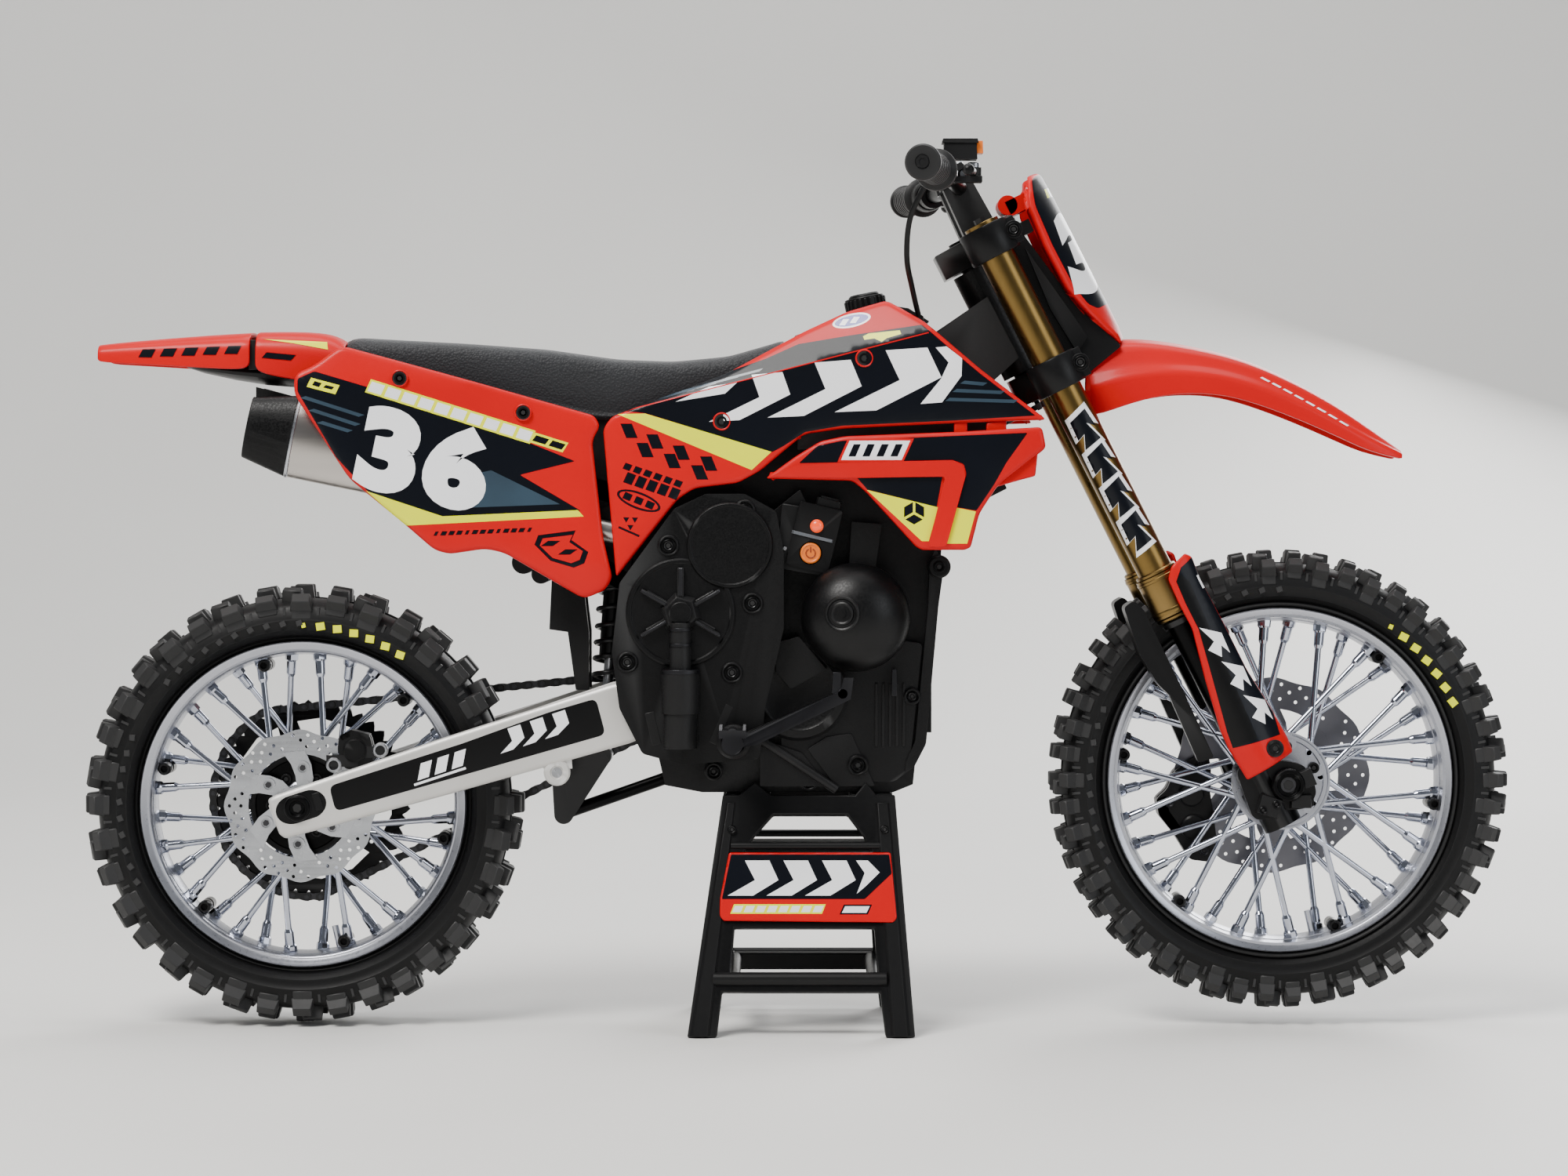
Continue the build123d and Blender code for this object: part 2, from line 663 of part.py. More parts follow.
with BuildPart() as front_fender:
    with BuildSketch(side_plane(-14.8)) as fender_side:
        with BuildLine():
            Spline(
                (112, 258), (120, 260), (143.7, 258.5), (173.4, 251), (203, 236.2),
                (229, 217.8),
            )
            Line((229, 217.8), (223.9, 217.8))
            Spline(
                (223.9, 217.8), (203, 225), (173.4, 237), (161.5, 240.5), (143.7, 240.7),
                (128.8, 237.7), (114, 231.8),
            )
            Line((114, 231.8), (112, 258))
        make_face()
    extrude(fender_side.sketch, amount=-29.6)
    with BuildSketch(side_plane(-12.9)) as fender_hollow:
        with BuildLine():
            Spline(
                (113, 254), (120, 256), (143.7, 254.7), (173.4, 247), (203, 232),
                (222, 219.5),
            )
            Polyline(
                (222, 219.5), (222, 210), (113, 210), (113, 254),
            )
        make_face()
    extrude(fender_hollow.sketch, amount=-25.8, mode=Mode.SUBTRACT)
    with BuildSketch(fork_plane(-1)) as fender_tab:
        with Locations((22, 0)):
            Rectangle(11.9, 14)
    extrude(fender_tab.sketch, amount=3)
front_fender.part.label = "front_fender"
export_step(front_fender.part, "parts/front_fender.step")

cable_route = [
    (47, -60, 316), (41.5, -57, 304), (40.5, -48, 290), (43, -35, 279), (46, -25, 268),
]
cable_radii = [10, 14, 14]
with BuildPart() as throttle_cable:
    with BuildLine() as cable_line:
        FilletPolyline(*cable_route, radius=cable_radii)
    with BuildSketch(Plane(cable_line.line @ 0, z_dir=cable_line.line % 0)) as cable_ring:
        Circle(0.9)
    sweep(cable_ring.sketch, path=cable_line.line)
throttle_cable.part.label = "throttle_cable"
export_step(throttle_cable.part, "parts/throttle_cable.step")

# ==== lower fork ===============================================================
foot_cut = 19.2
guard_outline = [
    (140, 179.6), (147.8, 179.6), (150, 174), (180.5, 115), (185.6, 105), (170.5, 96.4),
    (163.6, 106.5), (139.5, 173.5),
]

with BuildPart() as fork_legs:
    rod(fork_place(-170, leg_offset, -leg_y), fork_place(-20, leg_offset, -leg_y),
        slider_radius)
    rod(fork_place(-190, leg_offset, -leg_y), fork_place(-162, leg_offset, -leg_y), 7.3)
    cross_rod(front_axle, -foot_cut, -32.5, 7)
    block((100, 220), (-foot_cut, 0), (40, 160), mode=Mode.SUBTRACT)
    cross_rod(front_axle, -15, -40, 2.5, mode=Mode.SUBTRACT)
    mirror(about=Plane.XZ)
fork_legs.part.label = "fork_legs"
export_step(fork_legs.part, "parts/fork_legs.step")

with BuildPart() as fork_guards:
    plate(guard_outline, -20, -36.5)
    rod(fork_place(-200, leg_offset, -leg_y), fork_place(-60, leg_offset, -leg_y), 9,
        mode=Mode.SUBTRACT)
    rod(fork_place(-166, leg_offset, -leg_y - 7.4), fork_place(-166, leg_offset, -36), 2)
    mirror(about=Plane.XZ)
fork_guards.part.label = "fork_guards"
export_step(fork_guards.part, "parts/fork_guards.step")

with BuildPart() as front_axle_pin:
    cross_rod(front_axle, -34.5, 34.5, 2.5)
    cross_rod(front_axle, -32.55, -34.5, 4)
    cross_rod(front_axle, 32.55, 34.5, 4)
front_axle_pin.part.label = "front_axle"
export_step(front_axle_pin.part, "parts/front_axle.step")

with BuildPart() as front_caliper:
    plate(
        [(141, 94), (150, 101), (160, 96), (166, 79), (158, 66), (146, 68)], 13, 22.5
    )
    cross_rod(front_axle, 15.4, 18.1, 39, mode=Mode.SUBTRACT)
    plate([(150, 80), (164, 77), (168.5, 82), (168.3, 90), (158, 92)], 19.2, 22.5)
front_caliper.part.label = "front_caliper"
export_step(front_caliper.part, "parts/front_caliper.step")


# ==== wheels ===================================================================
def wheel_plane(axle):
    """Radius along x, width along y, through the axle's centre."""
    return Plane(origin=axle, x_dir=(1, 0, 0), z_dir=(0, 0, 1))


def tyre_profile(radius, half_width, rim):
    """A hollow tyre's section, open at the bead."""
    wide = half_width
    outer = [
        (rim - 1.8, 7.6), (rim + 0.6, 7.6), (rim + 4, wide - 1.4), (rim + 10, wide),
        (radius - 6, wide), (radius - 1.5, wide - 3),
    ]
    inner = [
        (radius - 5, wide - 5.5), (rim + 9, wide - 3.2), (rim + 3, wide - 5), (rim - 1, 5),
        (rim - 1.8, 5),
    ]
    with BuildLine() as section:
        Polyline(*outer)
        ThreePointArc(outer[-1], (radius, 0), (outer[-1][0], -outer[-1][1]))
        Polyline(*[(r, -y) for r, y in reversed(outer)])
        Line((rim - 1.8, -7.6), (rim - 1.8, -5))
        Polyline(*[(r, -y) for r, y in reversed(inner)])
        ThreePointArc(
            (inner[0][0], -inner[0][1]), (radius - 4, 0), inner[0],
        )
        Polyline(*inner)
        Line((rim - 1.8, 5), (rim - 1.8, 7.6))
    make_face(section.edges())


def rim_profile(rim, half):
    """A channel rim with a lip on each side."""
    with BuildLine() as section:
        Polyline(
            (rim - 4.4, -5), (rim - 4.4, 5), (rim - 3.4, half), (rim, half), (rim, 7.8),
            (rim - 2, 7.8), (rim - 2, -7.8), (rim, -7.8), (rim, -half),
            (rim - 3.4, -half), close=True,
        )
    make_face(section.edges())


def spoke_rods(axle, rim, flange_radius, flange_y, count):
    """Crossed spokes, leaving the two flanges by turns."""
    lean = 24.0
    for index in range(count):
        side = -1 if index % 2 else 1
        turn = lean if index % 4 < 2 else -lean
        rim_angle = radians(360 / count * (index + 0.5))
        hub_angle = rim_angle + radians(turn)
        start = axle + Vector(
            flange_radius * cos(hub_angle), side * flange_y, flange_radius * sin(hub_angle)
        )
        end = axle + Vector(
            (rim - 4.1) * cos(rim_angle), side * 3.2, (rim - 4.1) * sin(rim_angle)
        )
        rod(start, end, 0.85)


def disc_shape(axle, radius, bore, y_from, y_to):
    """A brake disc with a scalloped edge, windows and a bore."""
    cross_rod(axle, y_from, y_to, radius)
    for scallop in range(12):
        angle = radians(30 * scallop)
        at_edge = axle + Vector(cos(angle), 0, sin(angle)) * (radius + 4.4)
        cross_rod(at_edge, y_from, y_to, 5.2, mode=Mode.SUBTRACT)
    for window in range(6):
        angle = radians(60 * window + 30)
        at_window = axle + Vector(cos(angle), 0, sin(angle)) * (radius * 0.55)
        cross_rod(at_window, y_from, y_to, radius * 0.17, mode=Mode.SUBTRACT)
    cross_rod(axle, y_from, y_to, bore + 0.02, mode=Mode.SUBTRACT)


axle_bore = 2.5 + running_fit
hub_boss = 7.0

with BuildPart() as rear_tyre:
    with BuildSketch(wheel_plane(rear_axle)) as rear_tyre_section:
        tyre_profile(rear_tyre_radius, rear_tyre_half_width, rear_rim_radius)
    revolve(rear_tyre_section.sketch, axis=Axis(rear_axle, (0, 1, 0)))
rear_tyre.part.label = "rear_tyre"
export_step(rear_tyre.part, "parts/rear_tyre.step")

with BuildPart() as front_tyre:
    with BuildSketch(wheel_plane(front_axle)) as front_tyre_section:
        tyre_profile(front_tyre_radius, front_tyre_half_width, front_rim_radius)
    revolve(front_tyre_section.sketch, axis=Axis(front_axle, (0, 1, 0)))
front_tyre.part.label = "front_tyre"
export_step(front_tyre.part, "parts/front_tyre.step")

with BuildPart() as rear_rim:
    with BuildSketch(wheel_plane(rear_axle)) as rear_rim_section:
        rim_profile(rear_rim_radius, 10.5)
    revolve(rear_rim_section.sketch, axis=Axis(rear_axle, (0, 1, 0)))
rear_rim.part.label = "rear_rim"
export_step(rear_rim.part, "parts/rear_rim.step")

with BuildPart() as front_rim:
    with BuildSketch(wheel_plane(front_axle)) as front_rim_section:
        rim_profile(front_rim_radius, 9.6)
    revolve(front_rim_section.sketch, axis=Axis(front_axle, (0, 1, 0)))
front_rim.part.label = "front_rim"
export_step(front_rim.part, "parts/front_rim.step")

with BuildPart() as rear_hub:
    cross_rod(rear_axle, -20.5, 20.9, hub_boss)
    cross_rod(rear_axle, -13, -10, 15)
    cross_rod(rear_axle, 10, 13, 15)
    cross_rod(rear_axle, -21, 21, axle_bore, mode=Mode.SUBTRACT)
rear_hub.part.label = "rear_hub"
export_step(rear_hub.part, "parts/rear_hub.step")

with BuildPart() as front_hub:
    cross_rod(front_axle, -18.8, 18.8, hub_boss)
    cross_rod(front_axle, -12.5, -9.5, 18.7)
    cross_rod(front_axle, 9.5, 12.5, 15)
    for bolt in range(6):
        angle = radians(60 * bolt + 15)
        bolt_centre = front_axle + Vector(cos(angle), 0, sin(angle)) * 14.5
        cross_rod(bolt_centre, -12.5, -13.6, 2)
    cross_rod(front_axle, -20, 20, axle_bore, mode=Mode.SUBTRACT)
front_hub.part.label = "front_hub"
export_step(front_hub.part, "parts/front_hub.step")

with BuildPart() as rear_spokes:
    spoke_rods(rear_axle, rear_rim_radius, 14.4, 11.5, 32)
rear_spokes.part.label = "rear_spokes"
export_step(rear_spokes.part, "parts/rear_spokes.step")

with BuildPart() as front_spokes:
    spoke_rods(front_axle, front_rim_radius, 14.4, 11, 36)
front_spokes.part.label = "front_spokes"
export_step(front_spokes.part, "parts/front_spokes.step")

with BuildPart() as rear_disc:
    disc_shape(rear_axle, 28, hub_boss, -17, -18.4)
rear_disc.part.label = "rear_disc"
export_step(rear_disc.part, "parts/rear_disc.step")

with BuildPart() as front_disc:
    disc_shape(front_axle, 38, hub_boss, 16, 17.4)
front_disc.part.label = "front_disc"
export_step(front_disc.part, "parts/front_disc.step")

with BuildPart() as rear_sprocket:
    gear_disc(rear_axle, 17.4, 19.6, 37.6, 48, 1.6)
    for window in range(6):
        angle = radians(60 * window)
        at_window = rear_axle + Vector(cos(angle), 0, sin(angle)) * 23
        cross_rod(at_window, 17, 20, 8, mode=Mode.SUBTRACT)
    cross_rod(rear_axle, 17, 20, hub_boss + 0.02, mode=Mode.SUBTRACT)
rear_sprocket.part.label = "rear_sprocket"
export_step(rear_sprocket.part, "parts/rear_sprocket.step")

# ==== swingarm =================================================================
arm_outline = [
    (-40, 137), (-69.7, 131.5), (-197, 88), (-199, 85), (-195, 74.5), (-192, 73),
    (-62, 109), (-44, 117),
]
arm_bridge = [(-101, 118), (-101, 104), (-91, 104), (-91, 120)]
rocker_lug = [(-99, 104), (-91, 112), (-86, 98.5), (-88, 94), (-92, 93.5), (-96, 97)]

with BuildPart() as swingarm:
    for side in (-1, 1):
        plate(arm_outline, side * arm_inner, side * arm_outer)
        cross_rod(pivot, side * arm_inner, side * arm_outer, 10)
        plate(rocker_lug, side * 7.2, side * 10)
    plate(arm_bridge, -arm_inner, arm_inner)
    cross_rod(pivot, -30, 30, 2 + running_fit, mode=Mode.SUBTRACT)
    cross_rod(rear_axle, -30, 30, 2.5, mode=Mode.SUBTRACT)
    cross_rod(rocker_pin, -10, 10, 1.5)
swingarm.part.label = "swingarm"
export_step(swingarm.part, "parts/swingarm.step")

with BuildPart() as rear_axle_pin:
    cross_rod(rear_axle, -28.5, 28.5, 2.5)
    cross_rod(rear_axle, -arm_outer - 0.02, -28.5, 5)
    cross_rod(rear_axle, arm_outer + 0.02, 28.5, 5)
rear_axle_pin.part.label = "rear_axle"
export_step(rear_axle_pin.part, "parts/rear_axle.step")

chain_rear_outer = 40.0
chain_front_outer = 10.4
plate_height = 3.6


with BuildPart() as chain:
    for plate_from, plate_to in ((16.3, 17), (20, 20.7)):
        with BuildSketch(side_plane(plate_from)) as outer_loop:
            with Locations((rear_axle.X, rear_axle.Z)):
                Circle(chain_rear_outer)
            with Locations((pivot.X, pivot.Z)):
                Circle(chain_front_outer)
            make_hull()
        with BuildSketch(side_plane(plate_from)) as inner_loop:
            with Locations((rear_axle.X, rear_axle.Z)):
                Circle(chain_rear_outer - plate_height)
            with Locations((pivot.X, pivot.Z)):
                Circle(chain_front_outer - plate_height)
            make_hull()
        extrude(outer_loop.sketch, amount=plate_from - plate_to)
        extrude(inner_loop.sketch, amount=plate_from - plate_to, mode=Mode.SUBTRACT)
chain.part.label = "chain"
export_step(chain.part, "parts/chain.step")

with BuildPart() as rear_caliper:
    plate(
        [(-178, 103), (-176, 112), (-166, 117), (-156, 112), (-156, 104), (-166, 99)],
        -15.2, -21.4,
    )
    cross_rod(rear_axle, -16.4, -19, 29.2, mode=Mode.SUBTRACT)
rear_caliper.part.label = "rear_caliper"
export_step(rear_caliper.part, "parts/rear_caliper.step")

# ==== shock and linkage ========================================================
shock_line = (shock_top_pin - shock_foot_pin).normalized()
shock_length = (shock_top_pin - shock_foot_pin).length
body_length = 50.0
rod_overlap = 20.0

with BuildPart() as shock_body:
    rod(shock_top_pin - shock_line * body_length, shock_top_pin - shock_line * 2, 4.2)
    rod(shock_top_pin - shock_line * 16, shock_top_pin - shock_line * 12, 6.8)
    cross_rod(shock_top_pin, -5, 5, 4.8)
    cross_rod(shock_top_pin, -6, 6, 1.5 + running_fit, mode=Mode.SUBTRACT)
    rod(
        shock_top_pin - shock_line * (body_length + 1), shock_top_pin - shock_line * 9,
        2 + running_fit, mode=Mode.SUBTRACT,
    )
shock_body.part.label = "shock_body"
export_step(shock_body.part, "parts/shock_body.step")

with BuildPart() as shock_rod:
    rod(
        shock_foot_pin,
        shock_foot_pin + shock_line * (shock_length - body_length + rod_overlap), 2,
    )
    rod(shock_foot_pin + shock_line * 8, shock_foot_pin + shock_line * 11, 6.8)
    cross_rod(shock_foot_pin, -3.4, 3.4, 3.8)
    cross_rod(shock_foot_pin, -6, 6, 1.5 + open_fit, mode=Mode.SUBTRACT)
shock_rod.part.label = "shock_rod"
export_step(shock_rod.part, "parts/shock_rod.step")

spring_from = 11.9
spring_to = shock_length - 17.2
with BuildPart() as shock_spring:
    with BuildLine() as spring_line:
        Helix(
            pitch=(spring_to - spring_from) / 8, height=spring_to - spring_from, radius=5.7,
            center=shock_foot_pin + shock_line * spring_from, direction=shock_line,
        )
    with BuildSketch(Plane(spring_line.line @ 0, z_dir=spring_line.line % 0)) as wire:
        Circle(0.8)
    sweep(wire.sketch, path=spring_line.line)
shock_spring.part.label = "shock_spring"
export_step(shock_spring.part, "parts/shock_spring.step")

with BuildPart() as rocker:
    for side in (-1, 1):
        with BuildSketch(side_plane(side * 4)) as cheek:
            with Locations(
                (rocker_pin.X, rocker_pin.Z), (shock_foot_pin.X, shock_foot_pin.Z),
                (rod_pin.X, rod_pin.Z),
            ):
                Circle(3.6)
            make_hull()
        extrude(cheek.sketch, amount=-side * 2.6)
    cross_rod(shock_foot_pin, -6.6, 6.6, 1.5)
    cross_rod(rod_pin, -6.6, 6.6, 1.5)
    cross_rod(rocker_pin, -8, 8, 1.5 + running_fit, mode=Mode.SUBTRACT)
rocker.part.label = "rocker"
export_step(rocker.part, "parts/rocker.step")

with BuildPart() as pull_rod:
    for pin in (rod_pin, frame_rod_pin):
        cross_rod(pin, -3.4, 3.4, 3.6)
    rod(rod_pin, frame_rod_pin, 2.4)
    cross_rod(rod_pin, -4, 4, 1.5 + open_fit, mode=Mode.SUBTRACT)
    cross_rod(frame_rod_pin, -4, 4, 1.5 + running_fit, mode=Mode.SUBTRACT)
pull_rod.part.label = "pull_rod"
export_step(pull_rod.part, "parts/pull_rod.step")
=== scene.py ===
"""Looks of the quarter-scale motocross bike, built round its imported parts.

The frame is in metres: +X is forward, +Y is the rider's left and +Z is up.
Shapes are written in millimetres here and scaled when a mesh is made. A side of
-1 is the rider's right and +1 is the rider's left.
"""

import json
from math import atan2, ceil, cos, hypot, pi, radians, sin

import bmesh
import bpy
from mathutils import Matrix, Vector
from mathutils.bvhtree import BVHTree
from mathutils.geometry import delaunay_2d_cdt


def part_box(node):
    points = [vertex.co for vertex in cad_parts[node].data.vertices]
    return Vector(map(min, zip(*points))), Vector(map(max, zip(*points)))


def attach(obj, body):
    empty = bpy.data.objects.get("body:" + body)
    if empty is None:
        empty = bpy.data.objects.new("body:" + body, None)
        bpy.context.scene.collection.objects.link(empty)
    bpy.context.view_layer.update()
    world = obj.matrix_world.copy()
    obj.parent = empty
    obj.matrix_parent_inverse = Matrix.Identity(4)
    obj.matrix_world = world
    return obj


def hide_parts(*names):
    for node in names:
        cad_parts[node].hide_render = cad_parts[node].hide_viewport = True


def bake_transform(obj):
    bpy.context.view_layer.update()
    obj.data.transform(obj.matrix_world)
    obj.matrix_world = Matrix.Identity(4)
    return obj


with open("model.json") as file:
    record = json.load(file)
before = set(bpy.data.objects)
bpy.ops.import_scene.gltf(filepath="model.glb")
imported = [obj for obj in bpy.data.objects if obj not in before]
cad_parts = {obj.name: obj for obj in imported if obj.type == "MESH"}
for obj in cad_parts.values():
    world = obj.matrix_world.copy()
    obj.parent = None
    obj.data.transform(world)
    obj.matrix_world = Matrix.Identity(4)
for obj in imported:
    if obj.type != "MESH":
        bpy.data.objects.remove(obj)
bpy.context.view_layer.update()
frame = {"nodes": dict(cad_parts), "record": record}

MM = 0.001
SIDES = (-1, 1)
LABEL = {-1: "right", 1: "left"}
ACROSS = Vector((0, 1, 0))
ALONG = Vector((1, 0, 0))
UPWARD = Vector((0, 0, 1))
UPRIGHT = (ALONG, ACROSS, UPWARD)


# ==== materials ================================================================
def linear(red, green, blue):
    """Display values from 0 to 255 as linear light."""
    out = []
    for value in (red, green, blue):
        value /= 255
        out.append(value / 12.92 if value < 0.04045 else ((value + 0.055) / 1.055) ** 2.4)
    return (*out, 1)


def make_material(name, colour, rough, metal=0.0, shade=0.25, patch=60, grain=900, bump=0.08,
                  cells=False, stretch=(1, 1, 1), swing=0.08, wear=0.0, coat=0.0, coat_rough=0.12,
                  sheen=0.0, glow=0.0, aniso=0.0, spec=0.5):
    """A finish with colour patches, a fine grain in gloss and relief, and worn edges."""
    material = bpy.data.materials.new(name)
    material.use_nodes = True
    nodes, links = material.node_tree.nodes, material.node_tree.links
    shader = nodes["Principled BSDF"]
    place = nodes.new("ShaderNodeTexCoord")
    spread = nodes.new("ShaderNodeMapping")
    spread.inputs["Scale"].default_value = stretch
    links.new(place.outputs["Object"], spread.inputs["Vector"])

    patches = nodes.new("ShaderNodeTexNoise")
    patches.inputs["Scale"].default_value = patch
    patches.inputs["Detail"].default_value = 4
    links.new(spread.outputs["Vector"], patches.inputs["Vector"])
    tone = nodes.new("ShaderNodeValToRGB")
    tone.color_ramp.elements[0].position = 0.35
    tone.color_ramp.elements[1].position = 0.68
    tone.color_ramp.elements[0].color = tuple(c * (1 - shade) for c in colour[:3]) + (1,)
    tone.color_ramp.elements[1].color = colour
    links.new(patches.outputs["Fac"], tone.inputs["Fac"])
    colour_out = tone.outputs["Color"]

    if wear:
        shape = nodes.new("ShaderNodeNewGeometry")
        edge = nodes.new("ShaderNodeMapRange")
        edge.inputs["From Min"].default_value = 0.52
        edge.inputs["From Max"].default_value = 0.62
        edge.inputs["To Max"].default_value = wear
        links.new(shape.outputs["Pointiness"], edge.inputs["Value"])
        worn = nodes.new("ShaderNodeMix")
        worn.data_type = "RGBA"
        pale = tuple(min(1, c * 1.8 + 0.05) for c in colour[:3]) + (1,)
        factor, first, second = worn.inputs[0], worn.inputs[6], worn.inputs[7]
        second.default_value = pale
        links.new(edge.outputs["Result"], factor)
        links.new(colour_out, first)
        colour_out = worn.outputs[2]
    links.new(colour_out, shader.inputs["Base Color"])

    if cells:
        fine = nodes.new("ShaderNodeTexVoronoi")
        height = fine.outputs["Distance"]
    else:
        fine = nodes.new("ShaderNodeTexNoise")
        fine.inputs["Detail"].default_value = 3
        height = fine.outputs["Fac"]
    fine.inputs["Scale"].default_value = grain
    links.new(spread.outputs["Vector"], fine.inputs["Vector"])
    gloss = nodes.new("ShaderNodeMapRange")
    gloss.inputs["To Min"].default_value = max(0.02, rough - swing)
    gloss.inputs["To Max"].default_value = min(1, rough + swing)
    links.new(height, gloss.inputs["Value"])
    links.new(gloss.outputs["Result"], shader.inputs["Roughness"])
    relief = nodes.new("ShaderNodeBump")
    relief.inputs["Strength"].default_value = min(1, bump * 4)
    relief.inputs["Distance"].default_value = bump * MM
    links.new(height, relief.inputs["Height"])
    links.new(relief.outputs["Normal"], shader.inputs["Normal"])

    for socket, value in (("Metallic", metal), ("Specular IOR Level", spec), ("Coat Weight", coat),
                          ("Coat Roughness", coat_rough), ("Sheen Weight", sheen),
                          ("Anisotropic", aniso)):
        shader.inputs[socket].default_value = value
    if glow:
        shader.inputs["Emission Color"].default_value = colour
        shader.inputs["Emission Strength"].default_value = glow
    return material


red = make_material("red_plastic_finish", linear(204, 0, 10), 0.42, spec=0.14, shade=0.1, patch=18,
                    grain=1400, bump=0.012, coat=0.1, coat_rough=0.16)
navy = make_material("navy_vinyl", linear(2, 6, 16), 0.4, spec=0.15, shade=0.25, patch=30, grain=1600,
                     bump=0.01, coat=0.12, coat_rough=0.14)
slate = make_material("slate_vinyl", linear(44, 66, 82), 0.34, shade=0.3, patch=40, grain=1600,
                      bump=0.01, coat=0.3)
white = make_material("white_vinyl", linear(250, 251, 254), 0.36, shade=0.05, patch=30, grain=1600,
                      bump=0.01, coat=0.3)
yellow = make_material("yellow_vinyl", linear(240, 244, 0), 0.42, spec=0.14, shade=0.06, patch=30,
                       grain=1600, bump=0.01, coat=0.3)
blue = make_material("blue_vinyl", linear(30, 34, 160), 0.36, shade=0.1, patch=30, grain=1600,
                     bump=0.01, coat=0.3)
black = make_material("black_plastic_finish", linear(5, 5, 6), 0.38, spec=0.2, shade=0.25, patch=35,
                      grain=1100, bump=0.03, swing=0.1, wear=0.35)
composite = make_material("composite_finish", linear(5, 5, 6), 0.42, spec=0.2, shade=0.3, patch=50,
                          grain=1300, bump=0.07, cells=True, swing=0.14, wear=0.5)
gold = make_material("gold_finish", linear(122, 98, 54), 0.3, metal=1.0, shade=0.18, patch=25,
                     grain=500, bump=0.015, stretch=(1, 1, 0.15), swing=0.07, wear=0.25)
black_metal = make_material("black_anodised_finish", linear(6, 6, 7), 0.32, spec=0.3, metal=0.75,
                            shade=0.3, patch=40, grain=1200, bump=0.02, wear=0.6)
arm_metal = make_material("swingarm_finish", linear(206, 204, 200), 0.42, metal=0.35, shade=0.12,
                          patch=25, grain=1300, bump=0.025, wear=0.3)
rim_metal = make_material("rim_finish", linear(176, 178, 186), 0.3, metal=0.95, shade=0.14, patch=30,
                          grain=900, bump=0.02, wear=0.3)
# Painted shade: a darker copy of steel for the front disc, which lies in shade.
disc_steel_painted_shade = make_material("disc_painted_shade_finish", linear(112, 112, 118), 0.34, metal=1.0, shade=0.2, patch=50,
                           grain=800, bump=0.02, swing=0.08)
chrome = make_material("chrome_finish", linear(186, 190, 202), 0.13, metal=1.0, shade=0.1, patch=90,
                       grain=900, bump=0.01, swing=0.05)
steel = make_material("steel_finish", linear(178, 180, 184), 0.3, metal=1.0, shade=0.25, patch=60,
                      grain=900, bump=0.03, swing=0.1, wear=0.3)
dark_steel = make_material("dark_steel_finish", linear(36, 36, 39), 0.36, metal=0.9, shade=0.35,
                           patch=70, grain=900, bump=0.04, wear=0.6)
brushed = make_material("brushed_can", linear(190, 184, 178), 0.3, metal=1.0, shade=0.2, patch=50,
                        grain=700, bump=0.03, stretch=(0.06, 1, 1), aniso=0.5)
rubber = make_material("tyre_finish", linear(5, 5, 6), 0.5, spec=0.25, shade=0.35, patch=45, grain=700,
                       bump=0.09, swing=0.12, wear=0.55)
grip_rubber = make_material("grip_finish", linear(5, 5, 6), 0.5, spec=0.3, shade=0.3, patch=60,
                            grain=900, bump=0.06, sheen=0.15, wear=0.3)
seat_cover = make_material("seat_finish", linear(26, 28, 32), 0.64, spec=0.35, shade=0.3, patch=40,
                           grain=1150, bump=0.22, cells=True, swing=0.15, sheen=0.3)
spring_paint = make_material("spring_finish", linear(14, 14, 16), 0.34, shade=0.2, patch=80, grain=900,
                             bump=0.02, metal=0.5, wear=0.4)
orange = make_material("orange_finish", linear(244, 122, 28), 0.4, shade=0.15, patch=90, grain=900,
                       bump=0.02, coat=0.2)
lamp = make_material("lamp_finish", linear(255, 78, 20), 0.3, shade=0.1, patch=90, grain=900,
                     bump=0.01, coat=0.5, glow=0.6)
battery_wrap = make_material("battery_finish", linear(14, 16, 24), 0.3, shade=0.2, patch=60, grain=900,
                             bump=0.02, coat=0.4)
slate_grey = make_material("ridge_finish", linear(120, 124, 130), 0.34, metal=0.6, shade=0.2, patch=60,
                           grain=900, bump=0.02)
burnt = make_material("button_mark", linear(150, 58, 16), 0.45, shade=0.2, patch=90, grain=900,
                      bump=0.02)
dome_rubber = make_material("bumper_finish", linear(5, 5, 6), 0.4, spec=0.25, shade=0.25, patch=30,
                            grain=1300, bump=0.05, cells=True, wear=0.2)
# Painted shade: a matte near-black standing for the shade inside socket holes, screw holes, ring bores
# and the gap behind the shroud tabs.
recess_shade = make_material("recess_painted_shade", linear(7, 7, 8), 0.7, shade=0.3, patch=60, grain=900, bump=0.03)

FINISHES = {
    "red_plastic": red, "black_plastic": black, "black_composite": composite,
    "gold_anodised": gold, "black_anodised": black_metal, "swingarm_metal": arm_metal,
    "rim_metal": rim_metal, "spoke_chrome": chrome, "steel": steel,
    "dark_steel": dark_steel, "tyre_rubber": rubber, "grip_rubber": grip_rubber,
    "seat_cover": seat_cover, "spring_paint": spring_paint, "orange_button": orange,
    "battery_wrap": battery_wrap,
}
for node in frame["nodes"].values():
    for place in node.material_slots:
        base = place.material.name.split(".")[0]
        if base in FINISHES:
            place.material = FINISHES[base]
frame["nodes"]["muffler"].material_slots[0].material = brushed


